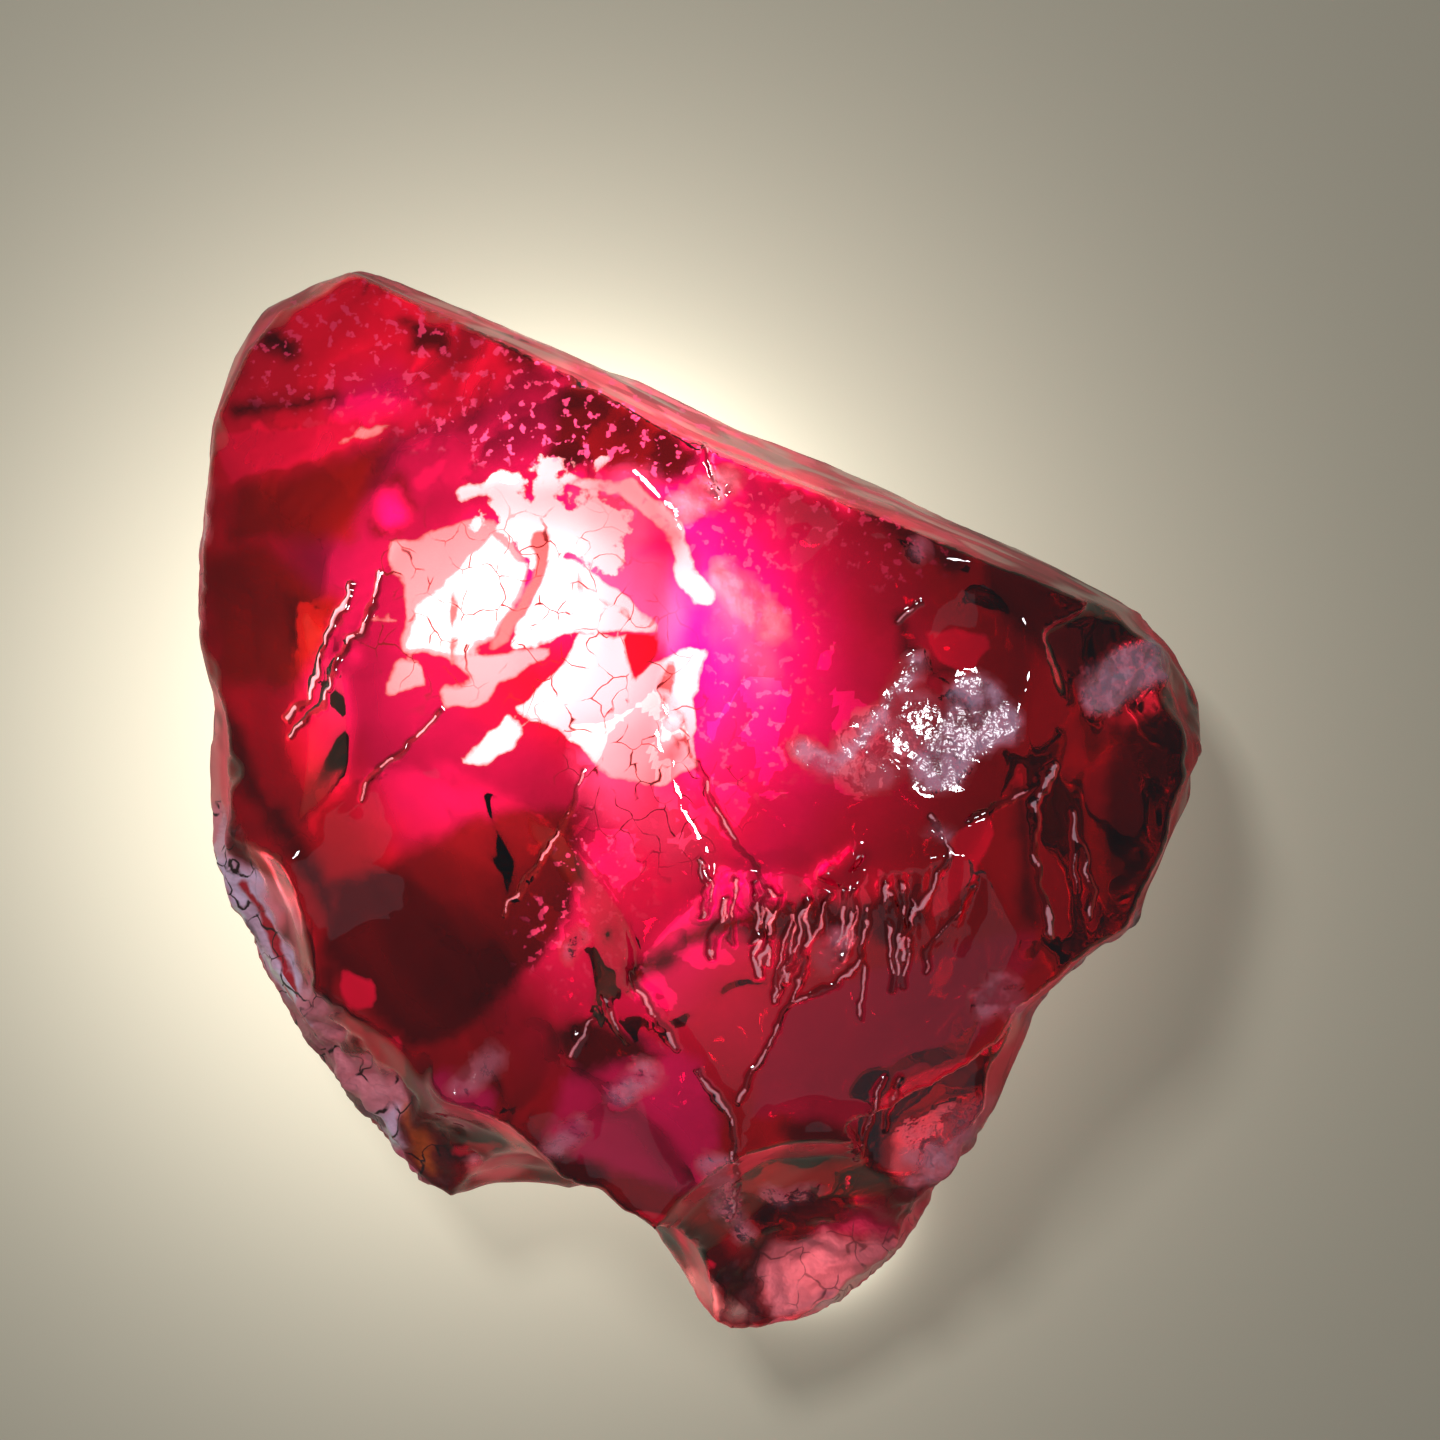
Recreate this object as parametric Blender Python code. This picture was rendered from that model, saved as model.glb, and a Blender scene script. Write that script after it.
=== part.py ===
"""Rough painite: one broken, transparent crystal fragment.

The stone starts as a blank: its outline seen from above, drawn up through a few rings.  Three kinds of break
are then cut away from it.  A Facet is a block whose inner side is a broken face, flat or slightly hollow.  A
Scoop is a ball, which leaves the shell-shaped hollow that a hard, glassy mineral breaks with.  A Chip is a
stretched ball that bites a set depth into the surface: the nicks in the edges, and the fine grooves, called
hackles, where a crack tore.

The script works in millimetres and scales the finished mesh to metres.  +X is the stone's width, +Y its
length and +Z is up; the origin is on the resting face, below the middle of the stone's box.
"""

import math
import random
from collections import namedtuple

import bmesh
import bpy
from mathutils import Matrix, Vector, noise
from mathutils.bvhtree import BVHTree

MM = 0.001

# Driving dimensions of the finished stone, in millimetres
WIDTH = 22.8
LENGTH = 24.1
HEIGHT = 10.8

# How finely the broken faces are divided, and how far they wave: height and length of each wave
GRAIN = 1.25
WAVES = ((0.24, 6.5), (0.09, 2.4))
WHOLE = 20.0
WELD = 0.012
SORT_AXIS = Vector((1.0, 0.37, 0.11))

# The outline from above, clockwise from the apex at the back left
OUTLINE = (
    (-7.2, 12.05), (-4.7, 11.3), (-2.5, 10.4), (-0.3, 9.3), (1.9, 8.4), (4.3, 7.4), (6.7, 6.3), (8.4, 5.6),
    (9.7, 4.85), (10.4, 3.8), (11.0, 3.2), (11.35, 2.5), (11.4, 1.6), (11.3, 0.5), (11.0, -0.1),
    (11.15, -0.4), (10.7, -1.4), (10.1, -2.4), (9.9, -3.1), (9.1, -3.7), (8.3, -4.4), (7.5, -5.0),
    (7.25, -5.5), (6.9, -6.3), (6.6, -7.3), (5.9, -8.9), (5.2, -9.7), (4.7, -10.5), (3.3, -11.7),
    (2.4, -12.0), (1.5, -12.05), (0.9, -11.9), (0.2, -11.5), (-0.3, -10.8), (-0.9, -10.0), (-1.6, -9.5),
    (-2.3, -8.8), (-2.9, -8.95), (-3.5, -8.8), (-4.7, -8.75), (-5.4, -9.0), (-6.1, -8.8), (-6.9, -8.3),
    (-7.7, -7.5), (-8.3, -6.5), (-9.0, -5.6), (-9.9, -4.1), (-10.5, -2.6), (-10.95, -1.3), (-11.1, 0.8),
    (-10.9, 2.5), (-11.2, 3.8), (-11.4, 5.5), (-10.95, 7.3), (-11.1, 8.3), (-10.6, 9.9), (-9.9, 11.0),
    (-8.7, 11.6),
)

# Height of each ring of the blank, and the size of the outline there. The stone is widest at its girdle, and
# the other rings wander by up to UNEVEN to break up the walls.
GIRDLE = 3.6
RINGS = ((-1.0, 0.84), (0.9, 0.92), (2.4, 0.98), (GIRDLE, 1.0), (5.2, 0.985), (7.4, 0.95), (13.0, 0.90))
UNEVEN = 0.7
UNEVEN_LENGTH = 3.0

# A break passes through the point at. Its outward side leans from straight up by tilt degrees towards the
# compass angle falls, counted from +X towards +Y. A facet's hollow is its radius of curvature, None where it
# is flat, and it may reach only so far across and along its slope. A chip's outward side is given by out.
Facet = namedtuple("Facet", "name at falls tilt hollow across along", defaults=(None, WHOLE, WHOLE))
Scoop = namedtuple("Scoop", "name at falls tilt radius")
Chip = namedtuple("Chip", "at out half_length half_width depth heading")

# The one break that stays flat, for the stone to rest on
RESTING_FACE = "resting_face"

TOP_BREAKS = (
    Facet("left_slope", (-4.0, 3.5, 8.6), 168, 14, 40),
    Facet("upper_left_slope", (-7.0, 9.0, 7.0), 124, 25),
    Facet("upper_left_facet", (-9.2, 7.2, 6.4), 160, 30),
    Facet("back_slope", (-1.2, 8.0, 8.9), 86, 17),
    Facet("back_right_slope", (7.5, 4.3, 8.8), 46, 20),
    Facet("right_flank", (9.4, 0.6, 8.0), 2, 27, 30),
    Facet("right_front_flank", (8.2, -3.4, 8.8), -40, 36),
    Facet("front_facet", (-1.0, -6.8, 8.8), 250, 22, 30),
    Facet("front_right_facet", (4.0, -4.8, 9.3), 284, 12, 34),
    Facet("tip_slope", (2.2, -8.9, 7.8), -84, 43, 16),
    Facet("mirror_riser", (5.9, -7.2, 7.9), -50, 54, None, 2.6, 3.4),
    Facet("mirror", (6.0, -7.9, 6.7), -60, 20, None, 2.0, 2.4),
    Facet("patch_facet", (10.0, 2.6, 7.3), 24, 36, None, 1.9, 2.4),
    Scoop("left_flank", (-9.6, 3.0, 6.2), 186, 36, 11),
    Scoop("front_left_bowl", (-5.5, -2.8, 7.3), 214, 19, 8),
    Scoop("central_bowl", (3.4, 2.4, 8.5), 72, 8, 9.5),
    Scoop("tip_bowl", (2.9, -11.2, 4.6), -80, 20, 6),
    Scoop("corner_bowl", (-8.3, -7.2, 4.6), 222, 26, 5.5),
    Scoop("corner_lobe", (-5.7, -8.2, 5.2), 258, 32, 3.6),
    Scoop("left_lobe", (-10.1, -3.2, 4.9), 198, 38, 5),
    Scoop("step_scoop", (-2.9, -5.4, 8.5), 236, 18, 4.5),
    Scoop("lower_scoop", (2.9, -7.7, 8.2), -76, 20, 4.5),
)

# Scoops in the side walls, above and below the stone's widest line
SIDE_BREAKS = (
    Scoop("apex_wall", (-8.6, 10.9, 5.6), 118, 68, 5),
    Scoop("left_wall_high", (-10.6, 7.8, 5.6), 176, 66, 6),
    Scoop("left_wall", (-10.7, 1.0, 4.9), 184, 70, 7),
    Scoop("corner_wall", (-7.3, -7.6, 3.4), 226, 60, 3),
    Scoop("notch_wall", (-1.9, -8.6, 5.4), 238, 74, 3.4),
    Scoop("tip_left_wall", (-0.2, -10.2, 4.6), 214, 66, 3.6),
    Scoop("tip_right_wall", (5.4, -9.0, 4.0), -30, 74, 4.5),
    Scoop("lower_right_wall", (8.5, -4.0, 5.6), -48, 70, 5),
    Scoop("right_wall", (10.7, -0.8, 5.8), -12, 68, 4),
    Scoop("right_wall_high", (10.9, 2.2, 5.4), 16, 66, 4.5),
)

UNDER_BREAKS = (
    Facet("back_wall", (-3.4, 10.4, 2.0), 66, 82),
    Facet("back_wall_right", (6.0, 6.3, 2.0), 65, 84, None, 7.6, WHOLE),
    Facet("upper_left_under", (-9.5, 11.0, 2.9), 124, 160),
    Facet("left_under", (-11.0, 4.2, 2.8), 183, 152),
    Facet("front_left_under", (-8.2, -6.0, 3.2), 214, 153),
    Facet("front_under", (-2.6, -9.0, 1.9), 250, 170, 12),
    Facet("tip_under", (2.4, -11.8, 2.3), -85, 170, 12),
    Facet("front_right_under", (5.8, -7.0, 1.7), -40, 150),
    Facet("right_under", (11.2, 0.4, 3.0), 4, 153),
    Facet(RESTING_FACE, (0.0, 0.0, 0.0), 0, 180),
    Scoop("flake_1", (-5.2, 2.4, 0.42), 200, 176, 8),
    Scoop("flake_2", (-3.6, 5.6, 0.38), 120, 175, 9),
    Scoop("flake_3", (-1.6, 3.6, 0.30), 30, 177, 7),
    Scoop("flake_4", (-4.0, -0.6, 0.40), 250, 174, 7),
    Scoop("flake_5", (-0.8, 6.9, 0.45), 60, 174, 8),
    Scoop("flake_6", (-5.9, 4.9, 0.50), 170, 172, 6),
    Scoop("flake_7", (5.3, 3.4, 0.45), 20, 173, 9),
    Scoop("flake_8", (0.6, -4.6, 0.50), 260, 172, 9),
    Scoop("flake_9", (4.6, -3.6, 0.40), -50, 174, 7),
    Scoop("flake_10", (2.6, 5.9, 0.35), 80, 175, 8),
)

# Hackles: grooves that run down the step from the central bowl's lower rim to the front facet
HACKLES = 13
HACKLE_START = (0.7, -1.9, 9.9)
HACKLE_END = (6.2, -2.1, 9.6)
HACKLE_SEED = 3

# Small nicks along the stone's sharp edges: how many are tried, and how far apart those that are kept lie
NICKS = 60
NICK_SEED = 4
NICK_FLOOR = 0.9
NICK_GAP = 1.8
SHARP_EDGE = math.radians(38)

# The cutters whose balls cross each other
CROSSING_CUTTERS = ("nicks", "hackles")


def clear_scene():
    for obj in list(bpy.data.objects):
        bpy.data.objects.remove(obj)


def new_object(name, mesh, collection):
    obj = bpy.data.objects.new(name, mesh)
    collection.objects.link(obj)
    return obj


def mesh_from(bm, name):
    """Turns the bmesh into a mesh, and frees it."""
    bmesh.ops.recalc_face_normals(bm, faces=bm.faces)
    mesh = bpy.data.meshes.new(name)
    bm.to_mesh(mesh)
    bm.free()
    return mesh


def blank_mesh():
    """The outline drawn up through the rings, and closed at both ends."""
    bm = bmesh.new()
    low, before = RINGS[0]
    corners = [bm.verts.new((x * before, y * before, low)) for x, y in OUTLINE]
    edges = [bm.edges.new((corners[i - 1], corners[i])) for i in range(len(corners))]
    for high, size in RINGS[1:]:
        made = bmesh.ops.extrude_edge_only(bm, edges=edges)["geom"]
        ring = [v for v in made if isinstance(v, bmesh.types.BMVert)]
        edges = [e for e in made if isinstance(e, bmesh.types.BMEdge)]
        bmesh.ops.translate(bm, verts=ring, vec=(0, 0, high - low))
        bmesh.ops.scale(bm, verts=ring, vec=(size / before, size / before, 1))
        low, before = high, size
    bmesh.ops.holes_fill(bm, edges=bm.edges)
    for v in bm.verts:
        if abs(v.co.z - GIRDLE) > WELD:
            v.co.x += UNEVEN * noise.noise(v.co / UNEVEN_LENGTH)
            v.co.y += UNEVEN * noise.noise((v.co + Vector((0, 0, WHOLE))) / UNEVEN_LENGTH)
    bmesh.ops.triangulate(bm, faces=bm.faces)
    return mesh_from(bm, "blank")


def outward(falls, tilt):
    a, t = math.radians(falls), math.radians(tilt)
    return Vector((math.sin(t) * math.cos(a), math.sin(t) * math.sin(a), math.cos(t)))


def placed(at, falls, tilt):
    """The matrix whose X runs across the slope, Y up the slope and Z outward, at the point."""
    a = math.radians(falls)
    z = outward(falls, tilt)
    x = Vector((-math.sin(a), math.cos(a), 0))
    turn = Matrix((x, z.cross(x), z)).transposed()
    return Matrix.Translation(at) @ turn.to_4x4()


def wave(spot):
    return sum(height * noise.noise(spot / length) for height, length in WAVES)


def facet_mesh(facet):
    """A block on the outer side of the facet. Its inner side is a grid, bent to the hollow, that waves."""
    bm = bmesh.new()
    cells = [max(3, round(2 * reach / GRAIN)) for reach in (facet.across, facet.along)]
    bmesh.ops.create_grid(bm, x_segments=cells[0], y_segments=cells[1], size=1)
    bmesh.ops.scale(bm, verts=bm.verts, vec=(facet.across, facet.along, 1))
    for v in bm.verts:
        if facet.hollow:
            away = min(v.co.length, 0.95 * facet.hollow)
            v.co.z = facet.hollow - math.sqrt(facet.hollow**2 - away**2)
        if facet.name != RESTING_FACE:
            v.co.z += wave(v.co + 7 * Vector(facet.at))
    made = bmesh.ops.extrude_face_region(bm, geom=bm.faces[:])
    for v in made["geom"]:
        if isinstance(v, bmesh.types.BMVert):
            v.co.z = 2 * WHOLE
    bmesh.ops.transform(bm, matrix=placed(facet.at, facet.falls, facet.tilt), verts=bm.verts)
    return mesh_from(bm, facet.name)


def scoop_mesh(scoop):
    """A waving ball on the outer side of the break, which touches it at the given point."""
    bm = bmesh.new()
    bmesh.ops.create_icosphere(bm, subdivisions=4 if scoop.radius > 7 else 3, radius=scoop.radius)
    for v in bm.verts:
        v.co += v.co.normalized() * wave(v.co + 7 * Vector(scoop.at))
    centre = Vector(scoop.at) + scoop.radius * outward(scoop.falls, scoop.tilt)
    bmesh.ops.translate(bm, verts=bm.verts, vec=centre)
    return mesh_from(bm, scoop.name)


def chips_mesh(chips, name):
    """One mesh of stretched balls, each sunk to its depth in the surface."""
    bm = bmesh.new()
    for chip in chips:
        # The radius at which a ball sunk to this depth is this wide where it meets the surface
        radius = (chip.half_width**2 + chip.depth**2) / (2 * chip.depth)
        stretch = Matrix.Diagonal((radius * chip.half_length / chip.half_width, radius, radius, 1))
        turn = chip.out.to_track_quat("Z", "Y").to_matrix().to_4x4()
        turn = turn @ Matrix.Rotation(math.radians(chip.heading), 4, "Z")
        sunk = Matrix.Translation(chip.at + chip.out * (radius - chip.depth))
        bmesh.ops.create_icosphere(bm, subdivisions=2, radius=1, matrix=sunk @ turn @ stretch)
    return mesh_from(bm, name)


def cut(stone, mesh, cutters):
    """Cuts the mesh's body away from the stone, for good."""
    cutter = new_object(mesh.name, mesh, cutters)
    cutter.hide_render = True
    cutter.display_type = "WIRE"
    boolean = stone.modifiers.new(mesh.name, "BOOLEAN")
    boolean.operation = "DIFFERENCE"
    boolean.solver = "EXACT"
    boolean.use_self = mesh.name in CROSSING_CUTTERS
    boolean.object = cutter
    graph = bpy.context.evaluated_depsgraph_get()
    done = bpy.data.meshes.new_from_object(stone.evaluated_get(graph))
    stone.modifiers.clear()
    stone.data = done
    bpy.data.objects.remove(cutter)


def hackles(stone):
    """Grooves side by side along the step, on the stone's surface."""
    dice = random.Random(HACKLE_SEED)
    tree = BVHTree.FromObject(stone, bpy.context.evaluated_depsgraph_get())
    start, end = Vector(HACKLE_START), Vector(HACKLE_END)
    grooves = []
    for i in range(HACKLES):
        near = start.lerp(end, (i + dice.uniform(0.2, 0.8)) / HACKLES)
        near.y += dice.uniform(-0.3, 0.3)
        at, out, _, _ = tree.find_nearest(near)
        length, width = dice.uniform(0.9, 1.4), dice.uniform(0.15, 0.24)
        grooves.append(Chip(at, out, length, width, 0.13, dice.uniform(78, 96)))
    return grooves


def nicks(stone):
    """Chips at the sharp edges that lie nearest to seeded random points, each clear of the others."""
    bm = bmesh.new()
    bm.from_mesh(stone.data)
    spots = []
    for edge in bm.edges:
        if edge.calc_face_angle(0) > SHARP_EDGE and min(v.co.z for v in edge.verts) > NICK_FLOOR:
            out = edge.link_faces[0].normal + edge.link_faces[1].normal
            spots.append(((edge.verts[0].co + edge.verts[1].co) / 2, out.normalized()))
    bm.free()
    dice = random.Random(NICK_SEED)
    chips = []
    for _ in range(NICKS):
        x, y = (dice.uniform(-size / 2, size / 2) for size in (WIDTH, LENGTH))
        dart = Vector((x, y, HEIGHT / 2))
        length, width, depth = dice.uniform(0.5, 1.0), dice.uniform(0.35, 0.6), dice.uniform(0.12, 0.24)
        heading = dice.uniform(0, 180)
        at, out = min(spots, key=lambda spot: (spot[0] - dart).length)
        if all((at - chip.at).length > NICK_GAP for chip in chips):
            chips.append(Chip(at, out, length, width, depth, heading))
    return chips


def fit_box(mesh):
    """Scales the mesh to the driving dimensions and puts the middle of its underside at the origin."""
    low = Vector(min(v.co[k] for v in mesh.vertices) for k in range(3))
    high = Vector(max(v.co[k] for v in mesh.vertices) for k in range(3))
    size = high - low
    scale = Matrix.Diagonal((WIDTH / size.x, LENGTH / size.y, HEIGHT / size.z, 1))
    base = Vector(((low.x + high.x) / 2, (low.y + high.y) / 2, low.z))
    mesh.transform(scale @ Matrix.Translation(-base))


def tidy(mesh):
    """Welds points closer than the weld distance, in an order that doesn't vary, and triangulates."""
    bm = bmesh.new()
    bm.from_mesh(mesh)
    bm.verts.sort(key=lambda v: v.co.dot(SORT_AXIS))
    bm.faces.sort(key=lambda f: f.calc_center_median().dot(SORT_AXIS))
    bmesh.ops.triangulate(bm, faces=bm.faces)
    bmesh.ops.remove_doubles(bm, verts=bm.verts, dist=WELD)
    bmesh.ops.dissolve_degenerate(bm, edges=bm.edges, dist=WELD)
    bmesh.ops.triangulate(bm, faces=bm.faces)
    bmesh.ops.recalc_face_normals(bm, faces=bm.faces)
    bm.to_mesh(mesh)
    bm.free()


def painite():
    """Clear, deep red, glossy crystal."""
    material = bpy.data.materials.new("painite")
    material.use_nodes = True
    shader = material.node_tree.nodes["Principled BSDF"]
    shader.inputs["Base Color"].default_value = (0.62, 0.02, 0.10, 1)
    shader.inputs["Roughness"].default_value = 0.06
    shader.inputs["Metallic"].default_value = 0.0
    shader.inputs["IOR"].default_value = 1.79
    shader.inputs["Transmission Weight"].default_value = 0.8
    return material


def main():
    clear_scene()
    parts = bpy.data.collections.new("rough_painite")
    cutters = bpy.data.collections.new("cutters")
    for collection in (parts, cutters):
        bpy.context.scene.collection.children.link(collection)
    stone = new_object("painite_crystal", blank_mesh(), parts)
    for shape in TOP_BREAKS + SIDE_BREAKS + UNDER_BREAKS:
        cut(stone, facet_mesh(shape) if isinstance(shape, Facet) else scoop_mesh(shape), cutters)
    for name, chips in zip(CROSSING_CUTTERS, (nicks, hackles)):
        cut(stone, chips_mesh(chips(stone), name), cutters)
    tidy(stone.data)
    fit_box(stone.data)
    stone.data.transform(Matrix.Scale(MM, 4))
    stone.data.materials.append(painite())
    print(len(stone.data.polygons), "triangles")


main()
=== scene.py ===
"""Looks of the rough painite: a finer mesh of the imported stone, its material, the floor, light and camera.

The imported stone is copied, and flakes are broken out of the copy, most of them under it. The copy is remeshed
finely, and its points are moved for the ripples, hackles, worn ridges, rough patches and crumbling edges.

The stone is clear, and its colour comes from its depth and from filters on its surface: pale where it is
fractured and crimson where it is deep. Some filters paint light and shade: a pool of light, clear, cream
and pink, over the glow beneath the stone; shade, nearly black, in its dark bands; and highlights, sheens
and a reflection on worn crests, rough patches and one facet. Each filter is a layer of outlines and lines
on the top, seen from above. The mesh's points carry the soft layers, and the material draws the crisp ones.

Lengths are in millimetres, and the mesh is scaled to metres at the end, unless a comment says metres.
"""

import math
import random
from collections import namedtuple

import bmesh
import bpy
import numpy as np
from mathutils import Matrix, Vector, noise
from mathutils.bvhtree import BVHTree


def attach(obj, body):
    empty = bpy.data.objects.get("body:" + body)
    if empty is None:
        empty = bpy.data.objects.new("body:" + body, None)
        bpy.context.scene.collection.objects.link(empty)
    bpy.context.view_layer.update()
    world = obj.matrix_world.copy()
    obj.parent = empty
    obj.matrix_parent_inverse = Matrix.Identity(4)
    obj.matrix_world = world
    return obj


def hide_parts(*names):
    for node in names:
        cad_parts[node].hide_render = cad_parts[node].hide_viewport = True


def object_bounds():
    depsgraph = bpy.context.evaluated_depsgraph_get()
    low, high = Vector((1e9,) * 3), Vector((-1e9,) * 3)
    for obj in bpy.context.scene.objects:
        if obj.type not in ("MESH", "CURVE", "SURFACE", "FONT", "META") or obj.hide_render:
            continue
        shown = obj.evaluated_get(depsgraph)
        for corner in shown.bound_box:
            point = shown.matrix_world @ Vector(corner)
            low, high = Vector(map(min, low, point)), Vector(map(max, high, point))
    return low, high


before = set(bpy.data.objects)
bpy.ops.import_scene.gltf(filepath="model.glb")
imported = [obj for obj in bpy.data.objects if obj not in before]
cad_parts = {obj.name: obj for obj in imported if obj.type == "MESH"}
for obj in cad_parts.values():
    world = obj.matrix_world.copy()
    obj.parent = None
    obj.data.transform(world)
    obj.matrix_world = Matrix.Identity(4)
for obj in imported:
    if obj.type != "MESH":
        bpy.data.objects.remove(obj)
cad_low, cad_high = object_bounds()

MM = 0.001
NODE = "painite_crystal"

# The photograph: its size, its scale at the stone's mid height, and the pixel over the stone's origin
IMAGE_PX = 1440
PX_PER_MM = 44.0
ORIGIN_PX = (697.5, 798.0)
CAMERA_HEIGHT = 120.0
SCALE_HEIGHT = 4.0
# The nearest and farthest that the camera sees, in metres
CLIP = (0.005, 5)

# Flakes broken out of the stone where seeded random points fall, apart from a round area that keeps clear.
# The rim of a flake's hollow slopes by the given angle.
Flakes = namedtuple("Flakes", "tries seed low high radius slope_deg lean clear_middle clear_radius")
UNDER_FLAKES = Flakes(44, 11, (-5.5, -7.5), (8.0, 10.5), (3.0, 8.0), (9, 18), 0.14, (2.8, 1.4), 3.2)
TOP_FLAKES = Flakes(20, 5, (-10.0, 7.0), (-2.0, 11.5), (3.0, 6.0), (7, 12), 0.12, (-2.0, 4.0), 2.4)
# One deeper flake left the half-moon scar: its place on the top, radius, slope, and the way it leans
SCAR = ((5.5, 3.6), 2.4, 24, (0.22, -0.18, 0))
# How high and how long the waves are on a ball that breaks a flake out
BALL_WAVE = (0.12, 1.6)
# The heights from which rays look for the top and for the underside
ABOVE = 20
BELOW = -5

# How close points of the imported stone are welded, and the size of the fine mesh's triangles
WELD = 0.001
EDGE = 0.155
# Near a worn ridge, as far as FINE_REACH beyond it, edges longer than FINE_EDGE are split
FINE_EDGE = 0.05
FINE_REACH = 0.18
# How many times the fine mesh is smoothed, and how far each time; then the same for the underside
SMOOTHING = (2, 0.5)
UNDER_SMOOTHING = (8, 0.6)

# How far up a point's normal turns: the least for the top, and for a place where a ridge is refined; the most
# for the underside; and the range over which a wall turns into a slope
TOP = 0.05
REFINED_TOP = 0.1
UNDERSIDE = -0.3
WALL_TO_SLOPE = (0.30, 0.55)
# The range over which an overhang turns into a frosted wall, and the noise that leaves parts of it clear
OVERHANG_TO_WALL = (-0.6, -0.2)
WALL_CLEARS = (-0.25, 0.15)

# The glows on the floor, a large one and a small one under the tip, and the wide halo around the large one,
# with how sharply the halo ends. The floor's size is in metres.
Glow = namedtuple("Glow", "middle strength width")
MAIN_GLOW = Glow((-3.4, 3.4), 8.0, 3.8)
TIP_GLOW = Glow((2.6, -9.7), 3.4, 1.5)
HALO = Glow((-4.6, 1.1), 1.10, 10.8)
HALO_POWER = 3.5
GLOW_COLOUR = (1.0, 0.92, 0.71)
FLOOR_COLOUR = (0.45, 0.41, 0.30)
FLOOR_ROUGHNESS = 0.8
FLOOR_SIZE = 0.6

# The sky, and square soft lights that face the stone, whose places and sizes are in metres
SKY_COLOUR = (0.50, 0.55, 0.62)
SKY_STRENGTH = 0.15
Panel = namedtuple("Panel", "name place size radiance colour")
PANELS = (
    Panel("front_panel", (0.03, -0.17, 0.22), 0.20, 0.14, (0.86, 0.88, 1.0)),
    Panel("key", (-0.055, 0.085, 0.20), 0.04, 40.0, (0.93, 0.94, 1.0)),
)
# How often at most a ray of light is turned
LIGHT_BOUNCES = 8

# The clear stone: how it bends light, and the colour and strength with which its depth takes light, per metre
IOR = 1.79
DEPTH_COLOUR = (0.84, 0.04, 0.30)
DEPTH_DENSITY = 170.0
# Where it is worn: the field of the mesh that says so, how rough the wear is, and the share of it that lets
# no light through
Wear = namedtuple("Wear", "field roughness solid")
WEARS = (
    Wear("bumpy", 0.32, 0.60),
    Wear("crumbs", 0.70, 0.85),
    Wear("steep", 0.70, 0.12),
)
CREST_ROUGHNESS = 0.15
CREST_SOLID = 0.55

# The material's patterns: the scale and the detail of two noises, in lumps a millimetre, the height of the
# grain in worn places, and how many cells a millimetre the cracks divide
RAGGED = (1.3, 4.0)
GRAIN = (4.0, 2.0)
GRAIN_HEIGHT = 0.06
CELL_SCALE = 1.4
# For each pattern, the range of its field and the two values that the field becomes at the range's ends
FLECKED = (0.60, 0.68, 0.0, 0.55)
CRACK_EDGE = (0.010, 0.040, 1.0, 0.0)
CRACK_BREAKS = (0.40, 0.55, 0.0, 1.0)
SPLIT_EDGE = (0.01, 0.06, 0.7, 0.0)
SPLIT_BREAKS = (0.44, 0.56, 0.2, 1.8)
RIDGE_SHADE = (-0.07, -0.03, 0.0, 1.0)
CREST = (-0.01, 0.02, 0.0, 1.0)
FROST_AND_SHEEN_BREAKS = (0.38, 0.56, 0.2, 1.0)
# How dark the shade beside a ridge is, and how raggedly its crest is broken
SHADE_SHARE = 0.8
CREST_BREAKING = 0.8

# Filters: what share of red, green and blue the surface lets through, besides what the stone's depth takes
# The clear and cream filters paint a pool of light, the white core over the main glow beneath the stone
CLEAR_PAINTED_LIGHT = (1.0, 0.97, 0.93)
CREAM_PAINTED_LIGHT = (0.55, 0.34, 0.34)
VEIN = (0.34, 0.16, 0.15)
SALMON = (1.0, 0.54, 0.60)
LIGHT_SALMON = (1.0, 0.82, 0.74)
PALE = (0.96, 0.78, 0.76)
# Pink, hot pink, magenta and rose paint light: lighter filters gathered around the glows beneath the stone
PINK_PAINTED_LIGHT = (0.80, 0.16, 0.45)
TOP_LEFT = (0.88, 0.007, 0.11)
# Hot pink paints light around the main glow
HOT_PINK_PAINTED_LIGHT = (0.95, 0.03, 0.36)
LILAC = (1.0, 0.80, 0.93)
# Magenta and rose paint light, fading away from the glows
MAGENTA_PAINTED_LIGHT = (0.76, 0.005, 0.38)
ROSE_PAINTED_LIGHT = (0.62, 0.006, 0.19)
# Core red is painted shade: darker beside the core, away from the glow
CORE_RED_PAINTED_SHADE = (0.21, 0.003, 0.055)
CRIMSON = (0.34, 0.003, 0.025)
RED = (0.80, 0.008, 0.14)
# The left end's dark red is painted shade, where little of the glow comes through
LEFT_END_PAINTED_SHADE = (0.18, 0.006, 0.004)
# Deep and dark are painted shade, nearly black, in the bands where little of the glow comes through
DEEP_PAINTED_SHADE = (0.085, 0.002, 0.005)
DARK_PAINTED_SHADE = (0.085, 0.002, 0.004)
MAROON = (0.36, 0.012, 0.13)
WINE = (0.62, 0.03, 0.42)
# Mirror is a painted reflection: the pale rose of a facet that mirrors the light
MIRROR_PAINTED_REFLECTION = (1.0, 0.52, 0.58)
STAIN = (0.85, 0.34, 0.07)
# The crests' pale colour is partly wear and partly a painted highlight
WORN_AND_PAINTED_HIGHLIGHT = (1.0, 0.84, 0.88)
# Frost on the rough patches is partly wear and partly a painted sheen
FROST_AND_PAINTED_SHEEN = (0.93, 0.84, 0.98)
WALL = (1.0, 0.30, 0.42)
# Grey is partly the crumbling rim's wear and partly a painted sheen on the rough patch at the right end
GREY_WEAR_AND_SHEEN = (0.62, 0.56, 0.59)
UNDER = (0.95, 0.42, 0.50)
FLECK = (1.0, 0.22, 0.62)
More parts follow.
